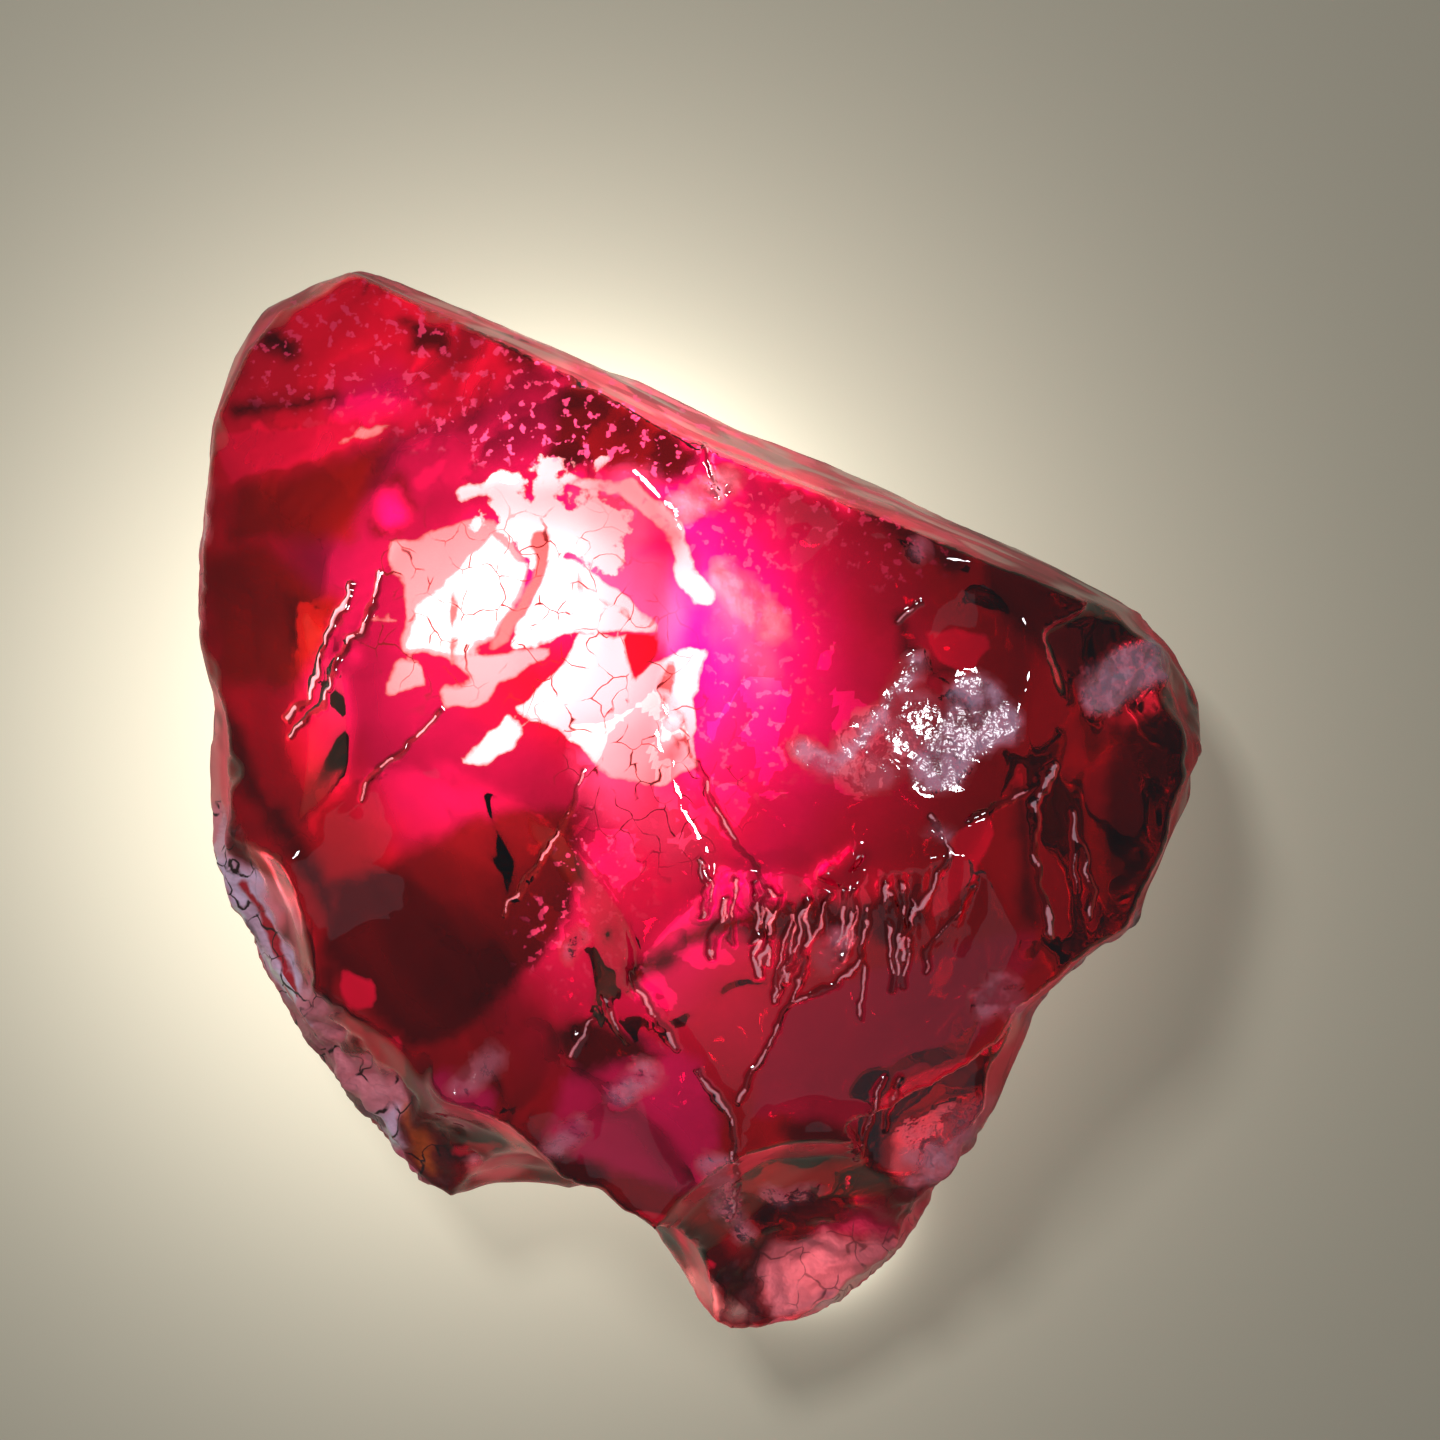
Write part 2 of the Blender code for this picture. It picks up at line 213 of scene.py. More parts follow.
# The cracks' colour also paints the shade beside the ridges
CRACK_AND_PAINTED_SHADE = (0.10, 0.012, 0.010)

# A shape on the top, seen from above: a closed outline, or a line with a half width
Shape = namedtuple("Shape", "points half_width closed")


def area(*points):
    return Shape(points, 0.0, True)


def line(half_width, *points):
    return Shape(points, half_width, False)


# A layer of a filter: how soft its edges are, how far they wander, and its shapes. A later layer covers an
# earlier one, and a crisp layer, which is no softer than CRISP, covers the soft ones.
CRISP = 0.12
Layer = namedtuple("Layer", "name filter soft wander shapes")
LAYERS = (
    # Rose: painted light, fading out from the main glow
    Layer("rose_painted_light", ROSE_PAINTED_LIGHT, 1.5, 0.6, (
        line(2.5, (-4.6, 7.0), (-1.0, 6.0), (1.6, 4.9), (2.8, 1.6), (0.6, -1.4), (-1.8, -3.2)),
        area((-1.8, -3.9), (0.9, -3.1), (1.9, -4.3), (1.4, -5.5), (0.8, -5.7), (-0.7, -5.2)),
    )),
    # Painted shade: a darker band left of the core
    Layer("core_red_painted_shade", CORE_RED_PAINTED_SHADE, 1.0, 0.6, (
        line(1.8, (-4.6, 9.0), (-5.9, 7.6), (-7.4, 5.5), (-7.2, 3.0), (-5.5, 0.6), (-3.2, -0.4),
             (-2.4, -1.2)),
    )),
    Layer("top_left", TOP_LEFT, 0.5, 0.8, (
        area((-10.8, 8.6), (-9.8, 11.0), (-7.4, 12.2), (-4.8, 11.5), (-3.4, 10.0), (-5.4, 8.6), (-6.6, 8.2),
             (-8.6, 7.6), (-10.6, 7.2)),
    )),
    # Painted shade on the left end
    Layer("left_end_painted_shade", LEFT_END_PAINTED_SHADE, 0.3, 0.5, (
        area((-11.0, 5.5), (-9.6, 5.7), (-8.6, 4.8), (-7.8, 4.5), (-8.3, 3.3), (-9.0, 2.4), (-10.6, 2.7),
             (-10.9, 4.2)),
        area((-10.3, 7.0), (-8.8, 7.3), (-6.8, 7.9), (-7.1, 7.0), (-7.7, 5.7), (-8.8, 5.8), (-10.5, 5.7)),
    )),
    # Magenta: painted light nearer the main glow
    Layer("magenta_painted_light", MAGENTA_PAINTED_LIGHT, 0.8, 0.7, (
        line(1.7, (-0.2, 5.6), (1.2, 3.8), (2.0, 1.8), (0.3, -1.0), (-1.2, -2.8)),
        area((-7.8, 9.1), (-6.8, 9.4), (-6.4, 8.9), (-7.4, 8.5), (-8.0, 8.7)),
    )),
    # Hot pink: the brightest of the painted light around the core
    Layer("hot_pink_painted_light", HOT_PINK_PAINTED_LIGHT, 0.9, 0.7, (
        line(0.5, (-0.5, 5.2), (0.9, 3.8), (1.2, 2.6), (0.6, 1.2), (0.3, -0.3)),
        line(1.0, (0.2, -0.3), (-0.9, -1.2), (-1.6, -2.2), (-2.4, -3.2)),
    )),
    Layer("wine", WINE, 0.2, 0.5, (
        area((-2.6, -5.5), (-1.5, -5.0), (0.0, -5.6), (0.5, -6.8), (0.5, -8.7), (-1.9, -8.1), (-3.4, -7.5)),
        area((-6.2, -6.3), (-5.6, -6.0), (-4.5, -6.4), (-4.5, -7.5), (-5.9, -7.0)),
    )),
    Layer("maroon", MAROON, 0.13, 0.25, (
        area((2.1, -4.4), (3.6, -3.7), (5.0, -3.4), (6.5, -2.8), (7.3, -2.8), (7.3, -3.5), (6.0, -5.2),
             (4.1, -6.1), (3.6, -7.2), (1.2, -6.8), (1.7, -4.8)),
    )),
    # Deep: painted shade, nearly black, on the thick parts and the dark bowl
    Layer("deep", DEEP_PAINTED_SHADE, 0.22, 0.5, (
        area((-2.6, 9.7), (-1.5, 9.1), (0.0, 7.6), (-0.2, 6.9), (-3.3, 7.3), (-3.1, 8.5)),
        area((-6.6, 10.7), (-5.4, 10.6), (-5.6, 9.9), (-6.3, 10.0)),
        area((-4.5, 10.2), (-3.4, 10.0), (-3.5, 9.3), (-4.1, 9.7)),
        area((-9.9, 10.7), (-9.3, 10.6), (-8.9, 9.9), (-9.8, 10.1)),
        line(0.18, (-10.3, 8.7), (-9.2, 8.75), (-8.1, 9.0)),
        area((-7.1, 7.0), (-6.5, 7.2), (-6.1, 6.5), (-6.5, 5.8), (-7.1, 5.9)),
        area((6.2, 5.6), (7.8, 5.8), (10.3, 4.4), (11.3, 2.4), (11.3, -0.4), (10.0, -2.4), (8.9, -2.6),
             (8.9, -0.1), (9.2, 1.5), (8.4, 2.4), (6.4, 4.2)),
        area((1.8, -6.9), (2.7, -6.9), (3.6, -7.3), (3.5, -8.1), (2.1, -8.1)),
        area((-3.1, -5.0), (-2.0, -4.7), (-0.7, -5.5), (-1.5, -5.7), (-2.6, -6.1)),
        area((3.8, -2.1), (4.5, -1.9), (4.9, -2.5), (4.4, -3.1), (3.0, -2.9), (0.6, -2.9), (1.6, -2.2)),
        line(0.22, (-1.3, -3.7), (0.3, -2.7), (1.7, -2.4), (2.8, -2.3)),
        line(0.30, (3.0, 6.9), (4.4, 6.1), (5.6, 5.2)),
        line(0.25, (-10.6, 1.8), (-9.9, 0.3), (-8.8, -1.1), (-8.0, -2.6)),
        line(0.35, (-5.4, -7.9), (-4.9, -7.7), (-3.4, -7.8), (-2.3, -8.3)),
        area((-7.1, -1.5), (-5.1, -0.4), (-3.9, -0.1), (-2.6, -0.2), (-2.4, -1.7), (-3.0, -3.0), (-4.5, -4.4),
             (-5.4, -5.3), (-6.3, -5.5), (-7.2, -4.6), (-8.3, -3.4), (-8.0, -1.8)),
    )),
    # Dark: painted shade, nearly black, in the dark bowl, the scar's crescent and thin dark lines
    Layer("dark_painted_shade", DARK_PAINTED_SHADE, 0.22, 0.4, (
        area((-7.6, -2.0), (-4.9, -1.0), (-3.1, -0.8), (-2.6, -1.4), (-3.0, -2.9), (-4.8, -4.7), (-6.0, -5.2),
             (-7.1, -4.9), (-7.8, -3.2)),
        area((6.8, 5.3), (7.8, 5.5), (9.4, 4.8), (8.9, 3.8), (7.8, 3.8), (6.9, 4.5)),
        area((-2.3, -8.5), (-1.1, -9.0), (0.3, -9.5), (1.3, -10.8), (1.1, -11.2), (-0.4, -10.6),
             (-1.1, -9.6)),
        line(0.16, (6.95, 0.3), (7.1, -0.8), (7.2, -2.5)),
        line(0.12, (4.4, 4.0), (4.6, 3.3), (5.1, 2.9), (5.6, 2.85)),
        line(0.10, (3.9, -7.2), (4.0, -8.1), (4.3, -8.7)),
        line(0.08, (-4.6, -5.9), (-4.1, -6.7), (-4.3, -7.5)),
        line(0.18, (-8.1, -3.8), (-8.35, -5.7)),
        line(0.25, (10.4, -0.6), (10.0, -2.2)),
        line(0.14, (1.6, -10.0), (1.2, -10.8), (1.3, -11.6)),
    )),
    # Painted reflection on the facet that mirrors the light
    Layer("mirror", MIRROR_PAINTED_REFLECTION, 0.13, 0.1, (
        area((4.4, -7.1), (6.5, -6.3), (6.9, -6.5), (6.0, -8.2), (5.4, -8.7), (4.7, -8.7), (4.3, -8.3)),
    )),
    # More rose painted light, mostly by the tip's glow
    Layer("lower_rose_painted_light", ROSE_PAINTED_LIGHT, 0.25, 0.4, (
        area((2.1, -9.3), (3.4, -8.5), (4.7, -9.5), (4.2, -9.9), (2.6, -9.8)),
        line(0.25, (-6.8, 6.6), (-6.6, 6.3)),
    )),
    # Pink: painted light in streaks beside the core
    Layer("pink_painted_light", PINK_PAINTED_LIGHT, 0.5, 1.1, (
        line(0.75, (-1.6, 6.2), (-1.9, 5.2), (-0.8, 4.2)),
        line(0.6, (-1.9, 0.5), (-1.1, -0.3), (-0.3, -0.9)),
        line(0.30, (0.3, 4.6), (1.0, 3.6), (1.5, 3.0)),
    )),
    Layer("salmon", SALMON, 0.13, 0.35, (
        area((1.7, -10.0), (2.6, -9.8), (4.2, -9.9), (4.9, -9.9), (3.9, -11.1), (3.0, -11.7), (1.7, -11.7),
             (1.4, -10.8)),
        area((-9.4, -4.6), (-8.8, -4.1), (-7.7, -5.0), (-8.0, -6.4), (-8.9, -6.0)),
        area((-8.3, -6.9), (-7.7, -5.1), (-6.6, -5.9), (-6.6, -7.0), (-7.0, -7.4), (-7.6, -7.4)),
        line(0.30, (-11.2, 7.0), (-11.5, 4.5), (-11.2, 1.6)),
        area((9.4, 4.6), (10.3, 4.1), (10.3, 3.7), (9.7, 4.0)),
        line(0.30, (-4.9, -8.3), (-4.1, -8.1)),
        line(0.40, (-11.2, 1.6), (-11.1, -0.3), (-10.9, -1.4)),
    )),
    Layer("light_rim", LIGHT_SALMON, 0.13, 0.4, (
        line(0.24, (3.0, -11.7), (3.9, -11.1), (4.9, -10.3), (5.9, -9.0), (6.5, -7.5)),
        line(0.24, (-0.1, -10.9), (0.4, -11.3), (0.9, -11.7)),
        area((-7.8, -7.3), (-7.1, -7.3), (-6.6, -7.8), (-7.1, -8.2)),
    )),
    Layer("lilac", LILAC, 0.13, 0.4, (
        area((-11.0, -1.3), (-9.5, -1.7), (-8.8, -2.8), (-8.8, -4.1), (-9.3, -4.7), (-10.2, -3.2)),
        area((-7.7, -7.1), (-6.9, -7.0), (-6.5, -7.9), (-7.1, -8.0)),
    )),
    # Grey: a painted sheen on the right end's rough patch, and wear on the crumbling lower right rim
    Layer("grey_wear_and_sheen", GREY_WEAR_AND_SHEEN, 0.13, 0.5, (
        area((8.5, 2.4), (9.3, 3.6), (10.3, 3.7), (10.5, 2.7), (10.2, 2.0), (8.9, 1.4)),
        line(0.35, (7.6, -4.9), (8.9, -3.8), (10.1, -2.8)),
    )),
    Layer("stain", STAIN, 0.15, 0.4, (
        area((-6.6, -7.0), (-6.0, -7.6), (-5.9, -8.5), (-6.4, -8.3)),
    )),
    Layer("pale", PALE, 0.13, 0.2, (
        area((-6.8, 12.2), (-4.9, 11.6), (-2.0, 10.5), (-1.5, 9.4), (-3.5, 10.3), (-5.9, 11.4)),
        area((3.7, 7.2), (5.0, 7.3), (7.1, 6.3), (9.6, 5.1), (8.7, 5.1), (6.5, 6.0), (4.8, 6.6)),
    )),
    Layer("red", RED, 0.06, 0.25, (
        area((-10.9, 8.2), (-8.8, 8.2), (-7.5, 8.4), (-6.7, 8.2), (-9.0, 7.4), (-10.5, 7.1)),
        area((5.6, -0.6), (6.3, -0.3), (6.4, -0.8), (5.6, -2.1), (5.1, -2.4)),
        area((5.0, 3.7), (6.3, 3.7), (6.5, 3.4), (5.9, 2.8), (5.3, 3.1)),
        area((4.4, -6.1), (6.5, -5.4), (7.0, -5.2), (5.8, -6.4), (4.5, -6.9), (3.9, -6.8)),
        area((-7.8, -3.8), (-7.2, -4.0), (-7.2, -4.6), (-7.8, -4.6)),
        area((-7.8, -4.8), (-7.1, -5.2), (-6.6, -5.3), (-6.5, -6.1), (-7.7, -5.6)),
        line(0.12, (-1.7, -9.1), (-0.7, -9.25)),
        line(0.09, (-0.2, -10.2), (0.3, -10.4)),
    )),
    # Cream slabs of the core, part of the painted pool of light over the main glow
    Layer("cream_painted_light", CREAM_PAINTED_LIGHT, 0.06, 0.35, (
        area((-6.7, 5.6), (-4.5, 6.2), (-3.8, 5.4), (-3.8, 4.6), (-4.5, 3.4), (-5.4, 3.1), (-6.4, 3.3),
             (-6.3, 4.1)),
        area((-5.2, 3.1), (-3.2, 3.3), (-4.1, 2.6), (-4.8, 2.1), (-5.5, 2.0), (-5.5, 2.4), (-4.8, 2.7)),
        area((-6.9, 2.6), (-6.5, 3.0), (-6.0, 3.0), (-6.0, 2.6), (-6.8, 2.3)),
        area((-7.1, 4.0), (-6.8, 4.2), (-6.5, 3.9)),
    )),
    # The clear core and lines, the brightest of the painted pool of light over the main glow
    Layer("clear", CLEAR_PAINTED_LIGHT, 0.05, 0.35, (
        area((-5.3, 4.9), (-4.5, 5.8), (-3.8, 5.2), (-3.9, 4.6), (-4.5, 3.5), (-5.4, 3.2), (-6.3, 3.4),
             (-6.1, 4.2)),
        area((-3.2, 5.4), (-2.6, 5.3), (-0.8, 3.7), (-2.6, 3.7), (-4.1, 3.3), (-3.5, 4.5)),
        area((-5.1, 0.9), (-4.1, 1.8), (-3.8, 1.6), (-3.9, 1.2), (-4.7, 0.8)),
        area((-3.8, 2.0), (-2.8, 3.0), (-2.5, 3.6), (-1.5, 3.5), (-1.4, 2.6), (-0.6, 3.2), (0.2, 3.3),
             (-0.1, 2.1), (0.0, 0.8), (-0.8, 0.4), (-1.9, 0.5), (-2.4, 1.1), (-3.0, 1.6)),
        area((-7.8, 7.95), (-7.4, 8.3), (-6.7, 8.2)),
        line(0.10, (-2.8, 6.95), (-1.9, 6.9), (-1.3, 6.65)),
        line(0.20, (-1.5, 6.75), (-1.1, 6.5), (-0.55, 5.9), (-0.25, 5.2)),
        line(0.20, (-0.35, 5.0), (0.1, 4.5)),
        line(0.14, (-5.1, 6.7), (-4.1, 6.9)),
        area((-1.2, 9.8), (1.9, 8.7), (2.4, 8.0), (-1.1, 9.2)),
    )),
    # The feather, drawn clear: part of the painted pool of light over the main glow
    Layer("feather", CLEAR_PAINTED_LIGHT, 0.10, 2.6, (
        area((-4.6, 6.9), (-3.3, 7.2), (-2.3, 6.8), (-1.4, 6.1), (-1.8, 5.0), (-3.2, 5.2), (-3.8, 5.6),
             (-4.6, 6.2)),
    )),
    Layer("vein", VEIN, 0.05, 0.25, (
        line(0.13, (-3.4, 5.8), (-3.4, 5.0), (-3.8, 4.2), (-4.4, 3.4)),
        line(0.09, (-5.3, 4.5), (-5.3, 3.1)),
        line(0.05, (-0.6, 3.1), (-0.75, 2.3), (-0.4, 1.2)),
        line(0.04, (-0.55, 3.1), (-0.5, 2.2), (-0.1, 1.0)),
        line(0.03, (-2.6, 5.2), (-2.5, 4.3), (-2.6, 3.7)),
        line(0.03, (-2.3, 4.6), (-1.2, 3.8)),
    )),
    Layer("kite", CRIMSON, 0.05, 0.2, (
        area((-1.6, 3.6), (-0.8, 3.7), (-0.8, 3.3), (-1.3, 2.6), (-1.5, 3.0)),
    )),
    Layer("band", RED, 0.06, 0.3, (
        line(0.10, (-10.2, -1.9), (-9.5, -3.2), (-9.1, -4.4)),
        line(0.14, (-5.4, -7.9), (-4.4, -7.8), (-3.6, -8.2)),
    )),
)

# The layers that also colour the walls
RIM_LAYERS = ("salmon", "light_rim", "lilac", "grey_wear_and_sheen", "stain", "pale")

# A worn ridge, a rough patch or a crumbling place: its shape, the height of its relief, and its wear
Relief = namedtuple("Relief", "shape height frost")
RIDGES = (
    Relief(line(0.04, (0.03, 0.86), (0.33, -0.05), (0.85, -0.84), (1.33, -1.45), (1.69, -1.95)), 0.05, 0.6),
    Relief(line(0.04, (7.83, 0.77), (7.10, 0.18), (6.53, -0.05), (5.92, -0.41)), 0.06, 0.7),
    Relief(line(0.05, (7.78, 0.73), (7.28, -0.05), (7.35, -1.18), (7.58, -2.32), (7.67, -2.82)), 0.07, 0.9),
    Relief(line(0.04, (3.60, -3.39), (2.99, -4.00), (2.10, -4.36), (1.65, -4.84), (1.47, -5.45),
                (1.15, -5.91), (0.97, -6.50)), 0.06, 0.7),
    Relief(line(0.05, (-1.44, -3.64), (-1.22, -4.11), (-0.83, -4.66), (-0.42, -5.34)), 0.06, 0.6),
    Relief(line(0.04, (0.08, -5.82), (0.26, -6.18), (0.67, -6.68), (0.85, -7.55), (0.90, -8.25),
                (0.76, -9.11)), 0.07, 0.9),
    Relief(line(0.03, (4.06, -6.05), (3.81, -6.80), (3.69, -7.52), (3.49, -7.95)), 0.06, 0.8),
    Relief(line(0.03, (4.42, -6.00), (4.26, -6.61), (4.15, -7.20)), 0.05, 0.6),
    Relief(line(0.04, (-6.92, 5.05), (-7.06, 4.36), (-7.40, 3.70), (-7.85, 3.18), (-8.26, 2.05),
                (-8.69, 1.73), (-9.03, 1.43)), 0.06, 0.8),
    Relief(line(0.05, (-7.62, 4.73), (-8.01, 3.86), (-8.33, 2.95), (-8.58, 2.23), (-9.10, 1.84)), 0.06, 0.8),
    Relief(line(0.03, (-2.42, 0.70), (-2.76, -0.32), (-3.15, -0.93), (-3.83, -1.98), (-4.22, -2.45)),
           0.05, 0.8),
    Relief(line(0.03, (-5.62, 1.91), (-6.12, 1.36), (-6.78, 0.82), (-7.17, 0.50), (-7.38, 0.07)), 0.05, 0.8),
    Relief(line(0.04, (8.17, -0.18), (8.26, -0.73), (8.47, -1.30), (8.62, -1.95), (8.56, -2.55)), 0.06, 0.9),
    Relief(line(0.03, (8.24, -1.00), (8.22, -1.45), (8.28, -1.89)), 0.05, 0.7),
    Relief(line(0.03, (4.88, 4.34), (4.38, 3.86)), 0.05, 0.8),
    Relief(line(0.04, (5.10, -0.32), (5.47, -1.00), (4.88, -2.18), (4.56, -2.59), (4.49, -3.36)), 0.06, 0.8),
    Relief(line(0.03, (6.01, -1.77), (5.65, -2.43), (5.33, -2.70), (5.03, -3.23), (5.01, -3.73)), 0.05, 0.6),
    Relief(line(0.04, (0.17, 7.80), (0.33, 7.23), (0.51, 6.55)), 0.05, 0.6),
    Relief(line(0.05, (-1.94, -4.25), (-1.76, -4.82), (-1.49, -5.16)), 0.05, 0.7),
    Relief(line(0.04, (-2.10, -4.59), (-2.44, -5.05), (-2.78, -5.61)), 0.05, 0.6),
)

# Hackles: squiggling worn lines that run down the step at the front of the central bowl
HACKLES = 15
HACKLE_ROW = ((0.1, -1.6), (4.8, -1.9))
# Ranges of a hackle's place in its share of the row, its start above the row, its length, its lean, the width
# of its loop and its wear, and the number of its steps and how far each shakes
HACKLE_PLACE = (0.1, 0.9)
HACKLE_START = (-0.5, 0.3)
HACKLE_LENGTH = (0.9, 2.4)
HACKLE_LEAN = (-0.35, 0.05)
HACKLE_LOOP = (0.10, 0.26)
HACKLE_FROST = (0.4, 1.0)
HACKLE_STEPS = 6
HACKLE_SHAKE = 0.06
HACKLE_SEED = 8
# The half width and the height of the line down, and of the line back up, which starts a gap to its side
HACKLE_DOWN = (0.04, 0.06)
HACKLE_BACK = (0.035, 0.05)
HACKLE_GAP = 0.03

# Rough patches that glint; their lilac-white colour is partly frost and partly a painted sheen
PATCHES = (
    Relief(line(0.20, (2.3, 1.1), (2.9, 0.75), (3.4, 1.1), (3.95, 1.75), (4.35, 2.4), (4.8, 2.95)),
           0.07, 0.8),
    Relief(line(0.55, (5.25, 0.75), (5.7, 1.45), (6.5, 1.7), (5.95, 2.25)), 0.08, 0.8),
    Relief(line(0.75, (3.7, 1.0), (4.7, 1.7)), 0.06, 0.35),
    Relief(line(0.30, (-1.65, -6.4), (-1.1, -5.95)), 0.07, 0.6),
    Relief(line(0.22, (-3.1, -7.65), (-2.6, -7.1)), 0.07, 0.5),
    Relief(line(0.32, (0.4, -8.0), (0.62, -8.9)), 0.07, 0.55),
    Relief(line(0.22, (0.9, -9.35), (1.1, -9.7)), 0.07, 0.5),
    Relief(line(0.18, (1.65, -8.8), (1.9, -9.0)), 0.06, 0.5),
    Relief(line(0.16, (2.3, -8.8), (2.6, -8.7)), 0.06, 0.5),
    Relief(line(0.32, (6.3, -4.35), (6.65, -4.0), (7.0, -4.5)), 0.08, 0.5),
    Relief(line(0.2, (4.7, -7.9), (5.2, -8.35)), 0.06, 0.5),
    Relief(line(0.25, (2.8, -3.4), (3.1, -3.0)), 0.08, 0.5),
    Relief(line(0.15, (5.15, -0.6), (5.4, -0.75)), 0.06, 0.5),
    Relief(line(0.28, (-5.2, -6.3), (-4.5, -5.7)), 0.08, 0.35),
    Relief(line(0.2, (-2.8, -3.2), (-2.55, -3.0)), 0.06, 0.35),
    Relief(line(0.55, (8.9, 2.4), (9.5, 2.9), (10.1, 3.1)), 0.10, 0.7),
    Relief(line(0.3, (-0.3, 6.4), (0.6, 6.9)), 0.06, 0.3),
    Relief(line(0.35, (0.6, 4.9), (1.6, 3.9)), 0.05, 0.25),
    Relief(line(0.2, (4.8, 5.4), (4.9, 5.5)), 0.06, 0.4),
    # The mirroring facet, flat: it takes the rough patches' frost colour and painted sheen
    Relief(area((4.5, -7.2), (6.5, -6.4), (6.8, -6.6), (6.0, -8.1), (5.3, -8.6), (4.7, -8.6)), 0.0, 0.35),
)

# Crumbling places
CRUMBS = (
    Relief(line(1.0, (1.5, -10.8), (3.3, -10.6), (4.8, -9.6), (6.2, -8.2)), 0.16, 0.6),
    Relief(line(0.9, (-8.2, -6.4), (-6.9, -7.4), (-6.0, -8.3)), 0.16, 0.9),
    Relief(line(0.7, (-10.8, -0.8), (-9.9, -3.4), (-8.7, -5.2)), 0.12, 1.0),
    Relief(line(0.5, (8.0, -4.9), (9.0, -3.9), (10.0, -2.8)), 0.12, 0.7),
    Relief(line(0.3, (10.2, 4.3), (11.0, 3.0), (11.2, 1.0)), 0.10, 0.1),
    Relief(line(0.3, (-11.3, 6.8), (-11.5, 4.5), (-11.2, 1.6)), 0.06, 0.6),
)

# How far the cells between the cracks are bent
BEND = 0.35
# Where the fractures show as dark lines, and where the red is a patchwork of tones
CRACKED = line(1.9, (-6.0, 4.2), (-3.2, 4.6), (-1.6, 2.0), (-0.8, 0.4))
PATCHWORK = line(2.6, (-9.0, 9.5), (-4.0, 9.6), (-0.5, 7.6))
# Where the underside has a frosted skin, and how rough that is
SKINS = (
    line(2.6, (-8.8, -0.4), (-9.6, 2.0), (-9.6, 6.0), (-7.6, 8.6), (-5.6, 9.6)),
    line(1.7, (-5.8, -1.6), (-5.0, -3.4), (-2.6, -5.4), (-1.0, -7.2)),
    line(1.4, (-10.0, -0.5), (-9.3, -3.6), (-7.0, -6.4), (-4.6, -7.4)),
    line(1.5, (0.9, -10.6), (3.4, -10.2), (5.2, -8.4)),
)
SKIN_ROUGHNESS = 0.60
# Where flecks of lighter pink show
FLECKS = (
    line(1.6, (-8.6, 10.4), (-5.0, 9.6), (-1.5, 8.6), (0.6, 6.9)),
    line(0.9, (0.6, 6.9), (1.2, 5.0), (1.7, 3.2), (0.9, 1.0)),
    line(0.7, (1.6, 7.2), (4.4, 5.6)),
    line(0.9, (-1.6, -1.0), (-2.6, -3.2)),
)
# The arcs that the blow left on the left end: their middle, the first and last radius, their spacing, how far
# they wander, their height, and how far left of the stone's middle they set in
ARCS = ((-9.0, 7.9), 2.6, 5.2, 0.33)
ARC_WANDER = 0.2
ARC_HEIGHT = 0.008
ARC_SETS_IN = (6.5, 7.5)

# The lengths of the lumps of the noises, and the heights of the surface's waves in the first three of them
Noises = namedtuple("Noises", "broad middle fine rough shake quiver")
NOISE_LENGTHS = (1.4, 0.7, 0.32, 0.2)
WAVE_HEIGHTS = (0.030, 0.010, 0.003)
# Each seed shifts the noise by this much. The shake and the quiver move a point in x and y.
NOISE_SHIFT = (17.3, 5.1, 0)
SHAKE_LENGTH, SHAKE_SEEDS = 0.45, (5, 6)
QUIVER_LENGTH, QUIVER_SEED = 0.2, 7
# How far the shake and the quiver move the ridges, and the layers
RIDGE_SHAKE = (0.11, 0.05)
LAYER_SHAKE = (0.10, 0.03)
# How much of the middle and the fine noise goes into uneven edges, and into the wandering edges of the layers
UNEVEN = (0.3, 0.2)
WANDER = (0.3, 0.15)

# How soft the edges of the rough patches, crumbling places, skins, fractured areas and flecked areas are
PATCH_SOFT = 0.12
CRUMB_SOFT = 0.25
SKIN_SOFT = 0.8
CRACKED_SOFT = 0.8
FLECKED_SOFT = 0.6
# How far outside a ridge its crest sets in, how much narrower a ridge looks that isn't frosted, and the share
# of its height that it always has, with how much of the middle noise goes on top
RIDGE_FOOT = 0.09
RIDGE_NARROWING = 0.03
RIDGE_HEIGHT, RIDGE_NOISE = 0.75, 0.5
# How far a rough patch's edge wanders, and how much of the fine noise goes into its bumps
PATCH_WANDER = 0.4
PATCH_FINE = 0.5
# How deep a crumbling place lies, and how much of the fine noise goes into its lumps
CRUMB_DEPTH = 0.5
CRUMB_FINE = 0.6
# How far from the glow the underside stays quite clear, which is painted light, and the share of a layer
# that stays off the walls
PAINTED_LIGHT_REACH = 5.5
OFF_WALLS = 0.75

# The patchwork: how soft its edge is, its cells a millimetre, the length and size of their bend, how the
# tones are spread over the cells, the middle, range and limits of the tones, and the shares of the patchwork
# that show everywhere and on the walls
PATCHWORK_SOFT = 1.0
PATCH_CELLS = 0.62
PATCH_BEND_LENGTH = 1.3
PATCH_BEND = (0.9, 0.7, 0)
TONE_SPREADING = 3.7
TONE_MIDDLE, TONE_RANGE = 0.95, 0.9
TONE_LIMITS = (0.4, 1.5)
TONE_SHARE = 0.15
WALL_PATCHWORK = 0.8


def closed_copy(source):
    """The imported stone's mesh in millimetres, with its points welded."""
    bm = bmesh.new()
    bm.from_mesh(source.data)
    bmesh.ops.scale(bm, vec=(1 / MM,) * 3, verts=bm.verts)
    bmesh.ops.remove_doubles(bm, verts=bm.verts, dist=WELD)
    mesh = bpy.data.meshes.new("painite_stone")
    bm.to_mesh(mesh)
    bm.free()
    stone = bpy.data.objects.new("painite_stone", mesh)
    bpy.context.scene.collection.objects.link(stone)
    return stone


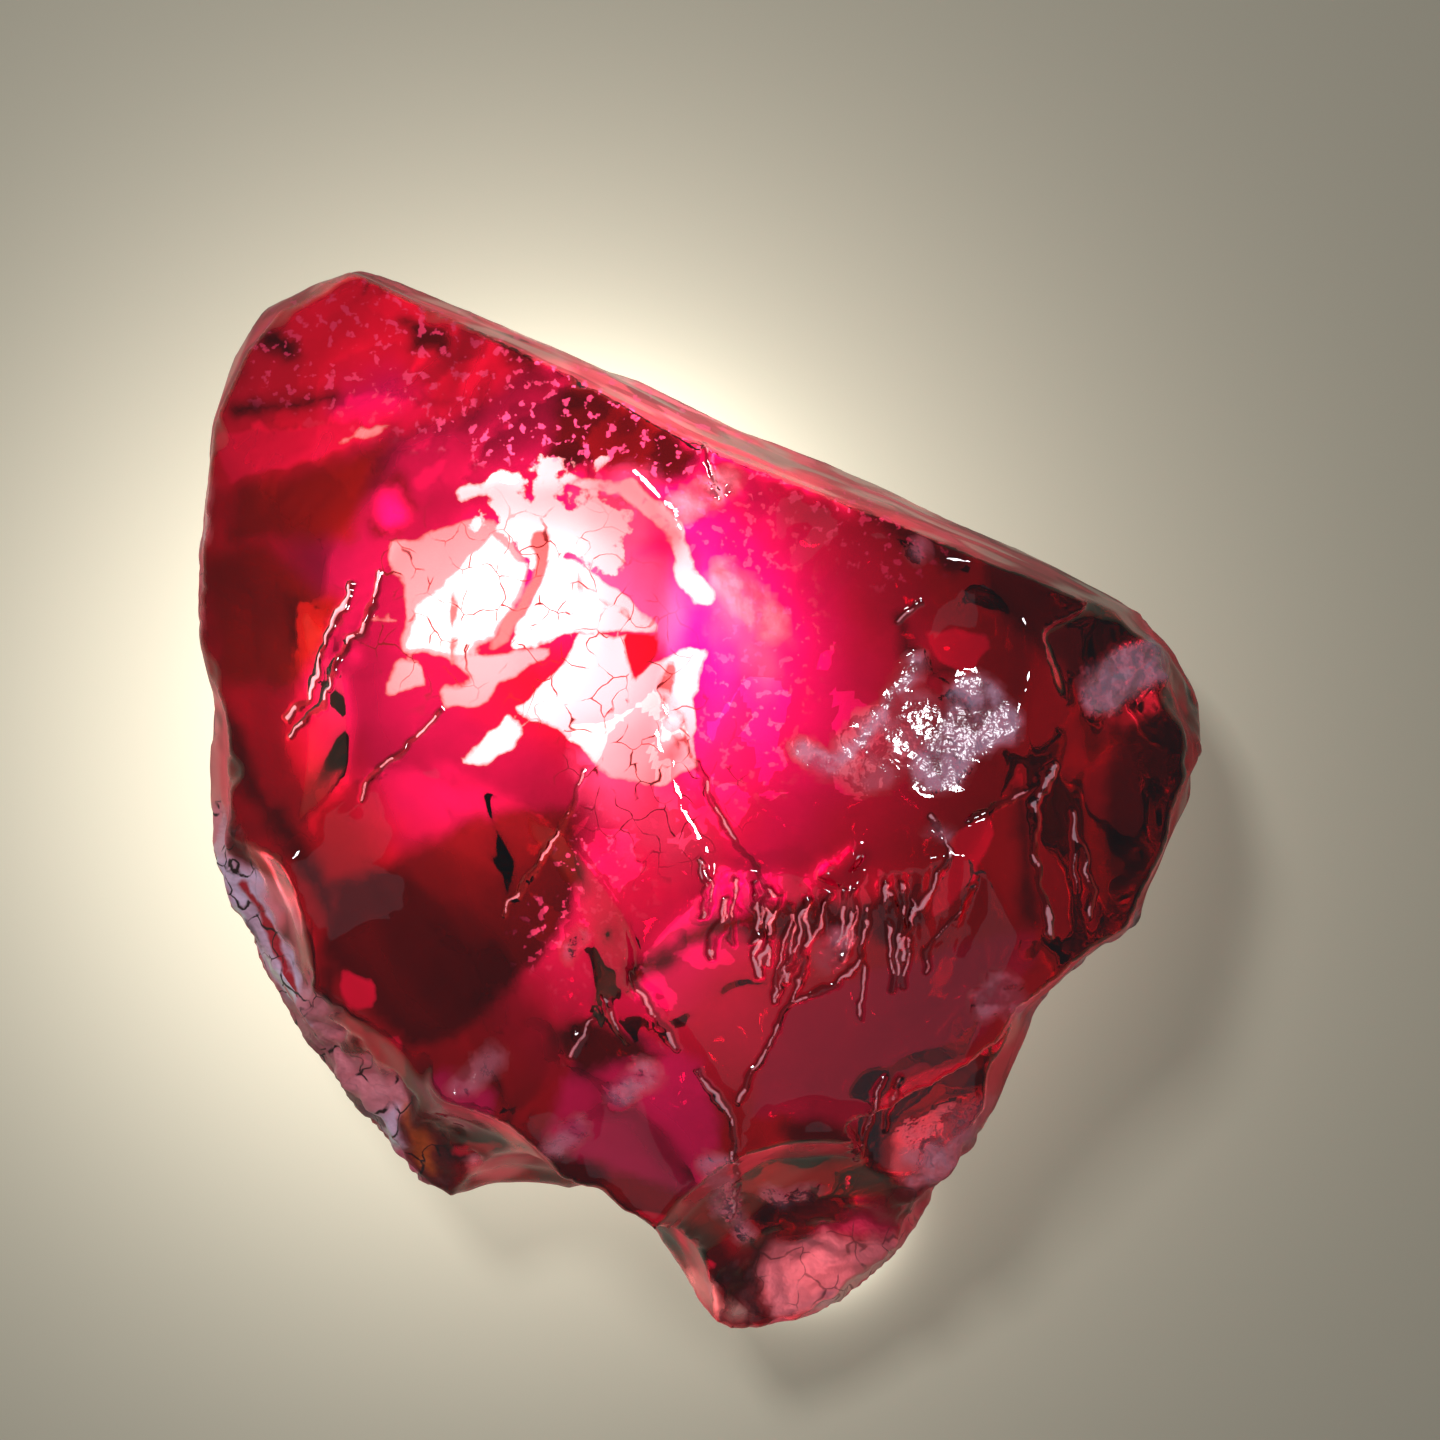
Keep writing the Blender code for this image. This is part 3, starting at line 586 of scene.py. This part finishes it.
def ball_mesh(radius, centre, seed):
    """A slightly waving ball, which leaves a shell-shaped hollow."""
    height, length = BALL_WAVE
    bm = bmesh.new()
    bmesh.ops.create_icosphere(bm, subdivisions=3, radius=radius)
    for v in bm.verts:
        v.co += v.co.normalized() * height * noise.noise(v.co / length + Vector((seed, 0, 0)))
    bmesh.ops.translate(bm, verts=bm.verts, vec=centre)
    mesh = bpy.data.meshes.new("flake")
    bm.to_mesh(mesh)
    bm.free()
    return mesh


def apply_modifiers(obj):
    graph = bpy.context.evaluated_depsgraph_get()
    done = bpy.data.meshes.new_from_object(obj.evaluated_get(graph))
    obj.modifiers.clear()
    obj.data = done


def cut(stone, mesh):
    cutter = bpy.data.objects.new(mesh.name, mesh)
    bpy.context.scene.collection.objects.link(cutter)
    boolean = stone.modifiers.new(mesh.name, "BOOLEAN")
    boolean.operation = "DIFFERENCE"
    boolean.solver = "EXACT"
    boolean.object = cutter
    apply_modifiers(stone)
    bpy.data.objects.remove(cutter)


def slope_depth(radius, slope_deg):
    """How deep a ball of the radius sits in a surface when its rim slopes by the angle."""
    return radius * (1 - math.cos(math.radians(slope_deg)))


def surface_at(tree, x, y, from_below):
    """Where a vertical ray meets the stone, and the way that the stone faces there."""
    start, way = (BELOW, 1) if from_below else (ABOVE, -1)
    at, out, _, _ = tree.ray_cast(Vector((x, y, start)), Vector((0, 0, way)))
    return at, out


def break_flakes(stone, flakes, from_below):
    """Breaks flakes out of the stone's top or underside."""
    dice = random.Random(flakes.seed)
    tree = BVHTree.FromObject(stone, bpy.context.evaluated_depsgraph_get())
    for i in range(flakes.tries):
        x, y = (dice.uniform(flakes.low[k], flakes.high[k]) for k in range(2))
        radius = dice.uniform(*flakes.radius)
        depth = slope_depth(radius, dice.uniform(*flakes.slope_deg))
        lean = Vector([dice.uniform(-flakes.lean, flakes.lean) for _ in range(3)])
        at, out = surface_at(tree, x, y, from_below)
        clear = math.hypot(x - flakes.clear_middle[0], y - flakes.clear_middle[1]) < flakes.clear_radius
        if at is not None and not clear:
            out = (out + lean).normalized()
            cut(stone, ball_mesh(radius, at + out * (radius - depth), i))


def break_scar(stone):
    """The one deeper flake that left the half-moon scar."""
    (x, y), radius, slope_deg, lean = SCAR
    tree = BVHTree.FromObject(stone, bpy.context.evaluated_depsgraph_get())
    at, out = surface_at(tree, x, y, False)
    out = (out + Vector(lean)).normalized()
    cut(stone, ball_mesh(radius, at + out * (radius - slope_depth(radius, slope_deg)), 0))


def remeshed(stone):
    """The stone's surface as even small triangles, laid back onto the surface that it had."""
    tree = BVHTree.FromObject(stone, bpy.context.evaluated_depsgraph_get())
    remesh = stone.modifiers.new("remesh", "REMESH")
    remesh.mode = "VOXEL"
    remesh.voxel_size = EDGE
    apply_modifiers(stone)
    bm = bmesh.new()
    bm.from_mesh(stone.data)
    bmesh.ops.triangulate(bm, faces=bm.faces)
    for v in bm.verts:
        v.co = tree.find_nearest(v.co)[0]
    return bm


def refine(bm, ridges):
    """Splits the long edges that lie on or near a ridge."""
    middles = np.array([(e.verts[0].co + e.verts[1].co) / 2 for e in bm.edges])
    lengths = np.array([e.calc_length() for e in bm.edges])
    upward = np.array([e.link_faces[0].normal.z for e in bm.edges]) > REFINED_TOP
    near = np.zeros(len(middles), bool)
    for ridge in ridges:
        near |= inside(ridge.shape, middles[:, :2]) > -FINE_REACH
    chosen = near & upward & (lengths > FINE_EDGE)
    edges = [e for e, pick in zip(bm.edges, chosen) if pick]
    bmesh.ops.subdivide_edges(bm, edges=edges, cuts=1)
    bmesh.ops.triangulate(bm, faces=[f for f in bm.faces if len(f.verts) > 3])


class Surface:
    """The fine mesh's points, edges and faces as arrays."""

    def __init__(self, bm):
        bm.verts.index_update()
        self.co = np.array([v.co for v in bm.verts])
        self.edges = np.array([(e.verts[0].index, e.verts[1].index) for e in bm.edges])
        self.faces = np.array([[v.index for v in f.verts] for f in bm.faces])

    def smooth(self, share, chosen):
        """Moves each chosen point a share of the way to the middle of its neighbours."""
        total = np.zeros_like(self.co)
        number = np.zeros(len(self.co))
        for a, b in (self.edges.T, self.edges.T[::-1]):
            number += np.bincount(a, minlength=len(self.co))
            for k in range(3):
                total[:, k] += np.bincount(a, self.co[b, k], len(self.co))
        self.co += share * chosen[:, None] * (total / number[:, None] - self.co)

    def normals(self):
        a, b, c = (self.co[self.faces[:, k]] for k in range(3))
        face = np.cross(b - a, c - a)
        total = np.zeros_like(self.co)
        for corner in self.faces.T:
            for k in range(3):
                total[:, k] += np.bincount(corner, face[:, k], len(self.co))
        return total / np.linalg.norm(total, axis=1)[:, None]


def noise_at(co, length, seed):
    """Noise of about -1 to 1 at each point, with lumps of the given length."""
    shift = Vector([seed * part for part in NOISE_SHIFT])
    return np.array([noise.noise(Vector(p) / length + shift) for p in co])


def inside(shape, xy):
    """How far inside the shape each point is, seen from above; negative outside it."""
    corners = np.array(shape.points + shape.points[:1] if shape.closed else shape.points)
    away = np.full(len(xy), np.inf)
    within = np.zeros(len(xy), bool)
    for a, b in zip(corners[:-1], corners[1:]):
        along = np.clip((xy - a) @ (b - a) / ((b - a) @ (b - a)), 0, 1)
        away = np.minimum(away, np.linalg.norm(xy - (a + along[:, None] * (b - a)), axis=1))
        if a[1] != b[1]:
            crossing = a[0] + (xy[:, 1] - a[1]) * (b[0] - a[0]) / (b[1] - a[1])
            within ^= ((a[1] > xy[:, 1]) != (b[1] > xy[:, 1])) & (xy[:, 0] < crossing)
    return np.where(within, away, -away) if shape.closed else shape.half_width - away


def ease(low, high, values):
    t = np.clip((values - low) / (high - low), 0, 1)
    return t * t * (3 - 2 * t)


def cover(shape, soft, xy, wander):
    """How much the shape covers each point, with an edge that wanders."""
    return ease(-soft, soft, inside(shape, xy) + wander)


def hackles():
    """Squiggling lines down the step, two in three of them with a line back beside them."""
    dice = random.Random(HACKLE_SEED)
    start, end = (np.array(p) for p in HACKLE_ROW)
    ridges = []
    for i in range(HACKLES):
        top = start + (end - start) * (i + dice.uniform(*HACKLE_PLACE)) / HACKLES
        top = top + (0, dice.uniform(*HACKLE_START))
        length, steps = dice.uniform(*HACKLE_LENGTH), HACKLE_STEPS
        lean = dice.uniform(*HACKLE_LEAN)
        path = [top + (lean * length * t / steps + dice.uniform(-HACKLE_SHAKE, HACKLE_SHAKE),
                       -length * t / steps) for t in range(steps + 1)]
        width = dice.uniform(*HACKLE_LOOP)
        frost = dice.uniform(*HACKLE_FROST)
        paths = [(path, HACKLE_DOWN)]
        if i % 3 != 2:
            back = [p + (width * math.sin(math.pi * t / steps) + HACKLE_GAP, 0) for t, p in enumerate(path)]
            paths.append((back, HACKLE_BACK))
        for points, (half_width, height) in paths:
            ridges.append(Relief(line(half_width, *(tuple(p) for p in points)), height, frost))
    return ridges


def put_attribute(mesh, name, kind, values):
    attribute = mesh.attributes.new(name, kind, "POINT")
    field = {"FLOAT_COLOR": "color", "FLOAT_VECTOR": "vector"}.get(kind, "value")
    attribute.data.foreach_set(field, np.ascontiguousarray(values, dtype=np.float32).ravel())


def noises_at(co):
    broad, middle, fine, rough = (noise_at(co, length, i) for i, length in enumerate(NOISE_LENGTHS))
    shake = np.stack([noise_at(co, SHAKE_LENGTH, seed) for seed in SHAKE_SEEDS], axis=1)
    quiver = np.stack([rough, noise_at(co, QUIVER_LENGTH, QUIVER_SEED)], axis=1)
    return Noises(broad, middle, fine, rough, shake, quiver)


def shaken(xy, noises, sizes):
    """The points moved by the shake and the quiver."""
    return xy + sizes[0] * noises.shake + sizes[1] * noises.quiver


def mixed(noises, shares):
    """The middle and the fine noise together."""
    return shares[0] * noises.middle + shares[1] * noises.fine


def steepness(normals):
    """How far each point belongs to a wall and not to a slope."""
    return 1 - ease(*WALL_TO_SLOPE, normals[:, 2])


def most(shapes, soft, xy, wander):
    """How much the shape that covers each point most covers it."""
    return np.max([cover(shape, soft, xy, wander) for shape in shapes], axis=0)


def blend(first, second, share):
    """Colours between the first and the second, by each point's share of the second."""
    share = share[:, None]
    return np.array(first) * (1 - share) + share * np.array(second)


def ripples(xy, noises, top):
    """The height of the surface's waves, and of the arcs that the blow left on the left end."""
    (x, y), first, last, spacing = ARCS
    radius = np.hypot(xy[:, 0] - x, xy[:, 1] - y) + ARC_WANDER * noises.broad
    arcs = ease(first, first + 1, radius) * (1 - ease(last - 1, last, radius))
    arcs = arcs * ease(*ARC_SETS_IN, -xy[:, 0])
    waves = sum(height * wave for height, wave in zip(WAVE_HEIGHTS, noises))
    return waves + ARC_HEIGHT * arcs * np.sin(math.tau * radius / spacing) * top


def relieve(surface, noises, ridges):
    """Moves the surface's points for its relief, and returns fields of where it is ridged and worn."""
    xy, normals = surface.co[:, :2], surface.normals()
    top = normals[:, 2] > TOP
    near_ridges = shaken(xy, noises, RIDGE_SHAKE)
    uneven = mixed(noises, UNEVEN)
    lift = ripples(xy, noises, top)
    ridged = np.full(len(xy), -1.0)
    for ridge in ridges:
        deep = inside(ridge.shape, near_ridges)
        crest = ease(-RIDGE_FOOT, ridge.shape.half_width, deep)
        lift += ridge.height * crest * top * (RIDGE_HEIGHT + RIDGE_NOISE * noises.middle)
        ridged = np.maximum(ridged, np.where(top, deep - RIDGE_NARROWING * (1 - ridge.frost), -1))
    bumpy = np.zeros(len(xy))
    for patch in PATCHES:
        share = cover(patch.shape, PATCH_SOFT, xy, uneven * PATCH_WANDER) * top
        lift += patch.height * share * (noises.rough + PATCH_FINE * noises.fine)
        bumpy = np.maximum(bumpy, share * patch.frost)
    crumbs = np.zeros(len(xy))
    for crumb in CRUMBS:
        share = cover(crumb.shape, CRUMB_SOFT, xy, uneven) * (normals[:, 2] > UNDERSIDE)
        lift -= crumb.height * share * (CRUMB_DEPTH + noises.middle + CRUMB_FINE * noises.fine)
        crumbs = np.maximum(crumbs, share * crumb.frost)
    steep = steepness(normals) * ease(*OVERHANG_TO_WALL, normals[:, 2])
    steep *= 0.5 + 0.5 * ease(*WALL_CLEARS, noises.broad)
    skin = most(SKINS, SKIN_SOFT, xy, 0) * (normals[:, 2] < 0)
    surface.co = surface.co + normals * lift[:, None]
    surface.co = np.clip(surface.co, np.array(cad_low) / MM, np.array(cad_high) / MM)
    return {"bumpy": bumpy, "crumbs": crumbs, "ridge": ridged, "steep": steep, "skin": SKIN_ROUGHNESS * skin}


def coloured(co, normals, noises):
    """The filter at each point without the crisp layers, and fields from which the material draws those."""
    xy = co[:, :2]
    top = normals[:, 2] > TOP
    near_layers = shaken(xy, noises, LAYER_SHAKE)
    # Near the main glow the underside's filter turns clear: a painted pool of light
    near = np.exp(-(np.linalg.norm(xy - np.array(MAIN_GLOW.middle), axis=1) / PAINTED_LIGHT_REACH) ** 4)
    under_and_painted_light = blend(UNDER, CLEAR_PAINTED_LIGHT, near)
    steep = steepness(normals)
    above = blend(CRIMSON, WALL, steep)
    fields = {"cracked": cover(CRACKED, CRACKED_SOFT, xy, 0) * top}
    fields["flecked"] = most(FLECKS, FLECKED_SOFT, xy, mixed(noises, UNEVEN)) * top
    for layer in LAYERS:
        if layer.soft > CRISP:
            share = most(layer.shapes, layer.soft, near_layers, layer.wander * mixed(noises, WANDER))
            if layer.name not in RIM_LAYERS:
                share *= 1 - OFF_WALLS * steep
            above = blend(above, layer.filter, share)
        else:
            deep = np.max([inside(shape, near_layers) for shape in layer.shapes], axis=0)
            fields["layer_" + layer.name] = np.where(top, np.clip(deep, -2, 2) - 2 * steep, -2)
    patchy = np.maximum(cover(PATCHWORK, PATCHWORK_SOFT, xy, 0), WALL_PATCHWORK * steep)
    above = np.minimum(above * patchwork(co, patchy)[:, None], 1.0)
    return np.where(top[:, None], above, under_and_painted_light), fields


def patchwork(co, share):
    """Tones of lighter and darker cells, as from facets deeper in the stone, stronger with the share."""
    low, high = TONE_LIMITS
    tones = []
    for p, part in zip(co, share):
        bend = noise.noise(Vector(p) / PATCH_BEND_LENGTH) * Vector(PATCH_BEND)
        cell = noise.voronoi(Vector(p) * PATCH_CELLS + bend)[1][0]
        tone = TONE_MIDDLE + TONE_RANGE * noise.noise(cell * TONE_SPREADING)
        tones.append(1 + (TONE_SHARE + (1 - TONE_SHARE) * part) * (min(max(tone, low), high) - 1))
    return np.array(tones)


def stone_piece():
    stone = closed_copy(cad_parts[NODE])
    break_flakes(stone, UNDER_FLAKES, True)
    break_flakes(stone, TOP_FLAKES, False)
    break_scar(stone)
    bm = remeshed(stone)
    ridges = list(RIDGES) + hackles()
    refine(bm, ridges)
    refine(bm, ridges)
    surface = Surface(bm)
    times, share = SMOOTHING
    for _ in range(times):
        surface.smooth(share, np.ones(len(surface.co)))
    times, share = UNDER_SMOOTHING
    for _ in range(times):
        surface.smooth(share, surface.normals()[:, 2] < UNDERSIDE)
    noises = noises_at(surface.co)
    base, fields = coloured(surface.co, surface.normals(), noises)
    fields.update(relieve(surface, noises, ridges))
    for v, p in zip(bm.verts, surface.co):
        v.co = p
    bmesh.ops.scale(bm, vec=(MM,) * 3, verts=bm.verts)
    mesh = bpy.data.meshes.new("painite_stone")
    bm.to_mesh(mesh)
    bm.free()
    mesh.shade_smooth()
    put_attribute(mesh, "base", "FLOAT_COLOR", np.hstack([base**2, np.ones((len(base), 1))]))
    for name, values in fields.items():
        put_attribute(mesh, name, "FLOAT", values)
    bent = surface.co.copy()
    bent[:, :2] += BEND * noises.shake
    put_attribute(mesh, "bent", "FLOAT_VECTOR", bent)
    stone.data = mesh
    return stone


class Nodes:
    """Short calls that add linked shader nodes to a material."""

    def __init__(self, tree):
        self.tree = tree

    def add(self, kind, values=(), **settings):
        """A node with its settings, whose inputs by name or number take values or other nodes' outputs."""
        node = self.tree.nodes.new("ShaderNode" + kind)
        for name, value in settings.items():
            setattr(node, name, value)
        for key, value in dict(values).items():
            if isinstance(value, bpy.types.NodeSocket):
                self.tree.links.new(value, node.inputs[key])
            else:
                node.inputs[key].default_value = value
        return node

    def math(self, operation, first, second=0.0):
        return self.add("Math", {0: first, 1: second}, operation=operation).outputs[0]

    def map(self, value, low, high, to_low, to_high):
        sockets = {"Value": value, "From Min": low, "From Max": high, "To Min": to_low, "To Max": to_high}
        return self.add("MapRange", sockets, interpolation_type="SMOOTHSTEP").outputs["Result"]

    def filter(self, share, colour, over):
        """The base colour with a filter over a share of it. A crossing takes the root of the base colour."""
        base = (*(c * c for c in over), 1)
        return self.add("Mix", {0: share, 6: colour, 7: base}, data_type="RGBA").outputs[2]

    def noise(self, where, scale, detail):
        sockets = {"Vector": where, "Scale": scale, "Detail": detail}
        return self.add("TexNoise", sockets, noise_dimensions="2D").outputs["Fac"]

    def edges(self, where, scale):
        """The distance to the nearest border between cells."""
        return self.add("TexVoronoi", {"Vector": where, "Scale": scale}, feature="DISTANCE_TO_EDGE",
                        voronoi_dimensions="2D").outputs[0]

    def attribute(self, name, output="Fac"):
        return self.add("Attribute", attribute_name=name).outputs[output]


def surface_filter(nodes, spot, grain):
    """The colour that the surface lets through, with painted shade beside the ridges and crests that are partly
    wear and partly a painted highlight, and how much each point lies on a worn ridge's crest.
    """
    ragged = nodes.noise(spot, *RAGGED)
    colour = nodes.attribute("base", "Color")
    uneven = nodes.math("SUBTRACT", ragged, 0.5)
    for layer in LAYERS:
        if layer.soft <= CRISP:
            deep = nodes.attribute("layer_" + layer.name)
            deep = nodes.math("ADD", deep, nodes.math("MULTIPLY", uneven, layer.wander))
            share = nodes.map(deep, -layer.soft, layer.soft, 0.0, 1.0)
            colour = nodes.filter(share, colour, layer.filter)

    fleck = nodes.math("MULTIPLY", nodes.map(grain, *FLECKED), nodes.attribute("flecked"))
    colour = nodes.filter(fleck, colour, FLECK)
    edge = nodes.edges(nodes.attribute("bent", "Vector"), CELL_SCALE)
    crack = nodes.math("MULTIPLY", nodes.map(edge, *CRACK_EDGE), nodes.map(ragged, *CRACK_BREAKS))
    crack = nodes.math("MULTIPLY", crack, nodes.attribute("cracked"))
    split = nodes.math("MULTIPLY", nodes.map(edge, *SPLIT_EDGE), nodes.attribute("crumbs"))
    split = nodes.math("MULTIPLY", split, nodes.map(ragged, *SPLIT_BREAKS))
    crack = nodes.math("MAXIMUM", crack, split)
    ridge = nodes.attribute("ridge")
    # Painted shade beside each ridge, darkened with the crack colour as the cracks are
    shade = nodes.math("MULTIPLY", nodes.map(ridge, *RIDGE_SHADE), SHADE_SHARE)
    colour = nodes.filter(nodes.math("MAXIMUM", crack, shade), colour, CRACK_AND_PAINTED_SHADE)
    # The crest's pale colour: partly wear, partly a painted highlight
    broken = nodes.math("MULTIPLY", nodes.math("MINIMUM", uneven, 0.0), CREST_BREAKING)
    crest = nodes.map(nodes.math("ADD", ridge, broken), *CREST)
    # The rough patches' lilac-white: partly frost and partly a painted sheen
    frost = nodes.math("MULTIPLY", nodes.attribute("bumpy"), nodes.map(ragged, *FROST_AND_SHEEN_BREAKS))
    colour = nodes.filter(frost, colour, FROST_AND_PAINTED_SHEEN)
    return nodes.filter(crest, colour, WORN_AND_PAINTED_HIGHLIGHT), crest


def stone_material():
    material = bpy.data.materials.new("painite")
    material.use_nodes = True
    nodes = Nodes(material.node_tree)
    links = material.node_tree.links
    shader = material.node_tree.nodes["Principled BSDF"]
    where = nodes.add("TexCoord").outputs["Object"]
    spot = nodes.add("Mapping", {"Vector": where, "Scale": (1 / MM,) * 3}).outputs[0]
    grain = nodes.noise(spot, *GRAIN)
    colour, crest = surface_filter(nodes, spot, grain)
    links.new(colour, shader.inputs["Base Color"])

    rough = nodes.math("MAXIMUM", nodes.attribute("skin"), nodes.math("MULTIPLY", crest, CREST_ROUGHNESS))
    solid = nodes.math("MULTIPLY", crest, CREST_SOLID)
    for wear in WEARS:
        field = nodes.attribute(wear.field)
        rough = nodes.math("MAXIMUM", rough, nodes.math("MULTIPLY", field, wear.roughness))
        solid = nodes.math("MAXIMUM", solid, nodes.math("MULTIPLY", field, wear.solid))
    links.new(rough, shader.inputs["Roughness"])
    links.new(nodes.math("SUBTRACT", 1.0, solid), shader.inputs["Transmission Weight"])
    worn = nodes.math("ADD", nodes.attribute("crumbs"), nodes.attribute("bumpy"))
    height = {"Height": nodes.math("MULTIPLY", grain, worn), "Distance": GRAIN_HEIGHT * MM, "Strength": 1.0}
    links.new(nodes.add("Bump", height).outputs[0], shader.inputs["Normal"])

    shader.inputs["IOR"].default_value = IOR
    absorb = nodes.add("VolumeAbsorption", {"Color": (*DEPTH_COLOUR, 1), "Density": DEPTH_DENSITY})
    links.new(absorb.outputs[0], material.node_tree.nodes["Material Output"].inputs["Volume"])
    return material


def widths_away(nodes, where, glow):
    """The distance from the glow's middle, in the glow's widths."""
    centre = (glow.middle[0] * MM, glow.middle[1] * MM, 0)
    away = nodes.add("VectorMath", {0: where, 1: centre}, operation="DISTANCE").outputs["Value"]
    return nodes.math("MULTIPLY", away, 1 / (glow.width * MM))


def floor_piece():
    bpy.ops.mesh.primitive_plane_add(size=FLOOR_SIZE)
    floor = bpy.context.object
    floor.name = "floor"
    material = bpy.data.materials.new("floor")
    material.use_nodes = True
    nodes = Nodes(material.node_tree)
    shader = material.node_tree.nodes["Principled BSDF"]
    shader.inputs["Base Color"].default_value = (*FLOOR_COLOUR, 1)
    shader.inputs["Roughness"].default_value = FLOOR_ROUGHNESS
    where = nodes.add("TexCoord").outputs["Object"]
    hot = 0.0
    for glow in (MAIN_GLOW, TIP_GLOW):
        spot = nodes.math("POWER", widths_away(nodes, where, glow), 2.0)
        spot = nodes.math("EXPONENT", nodes.math("MULTIPLY", spot, -1.0))
        hot = nodes.math("ADD", hot, nodes.math("MULTIPLY", spot, glow.strength))
    halo = nodes.math("POWER", widths_away(nodes, where, HALO), HALO_POWER)
    halo = nodes.math("DIVIDE", HALO.strength, nodes.math("ADD", halo, 1.0))
    links = material.node_tree.links
    links.new(nodes.math("ADD", hot, halo), shader.inputs["Emission Strength"])
    shader.inputs["Emission Color"].default_value = (*GLOW_COLOUR, 1)
    material.cycles.emission_sampling = "NONE"
    floor.data.materials.append(material)


def camera():
    data = bpy.data.cameras.new("camera")
    eye = bpy.data.objects.new("camera", data)
    bpy.context.scene.collection.objects.link(eye)
    middle = IMAGE_PX / 2
    x = (middle - ORIGIN_PX[0]) / PX_PER_MM
    y = (ORIGIN_PX[1] - middle) / PX_PER_MM
    eye.location = (x * MM, y * MM, CAMERA_HEIGHT * MM)
    data.lens = data.sensor_width * (CAMERA_HEIGHT - SCALE_HEIGHT) / (IMAGE_PX / PX_PER_MM)
    data.clip_start, data.clip_end = CLIP
    bpy.context.scene.camera = eye


def lights():
    world = bpy.data.worlds.new("world")
    bpy.context.scene.world = world
    world.use_nodes = True
    background = world.node_tree.nodes["Background"]
    background.inputs["Color"].default_value = (*SKY_COLOUR, 1)
    background.inputs["Strength"].default_value = SKY_STRENGTH
    world.cycles.sampling_method = "NONE"
    for panel in PANELS:
        data = bpy.data.lights.new(panel.name, "AREA")
        data.size = panel.size
        data.energy = panel.radiance * math.pi * panel.size**2
        data.color = panel.colour
        lamp = bpy.data.objects.new(panel.name, data)
        bpy.context.scene.collection.objects.link(lamp)
        lamp.location = panel.place
        lamp.rotation_mode = "QUATERNION"
        lamp.rotation_quaternion = (-Vector(panel.place)).to_track_quat("-Z", "Y")


stone = stone_piece()
stone.data.materials.append(stone_material())
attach(stone, "root")
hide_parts(NODE)
floor_piece()
lights()
camera()
bpy.context.scene.view_settings.view_transform = "Standard"
bpy.context.scene.cycles.max_bounces = LIGHT_BOUNCES
bpy.context.scene.cycles.transmission_bounces = LIGHT_BOUNCES
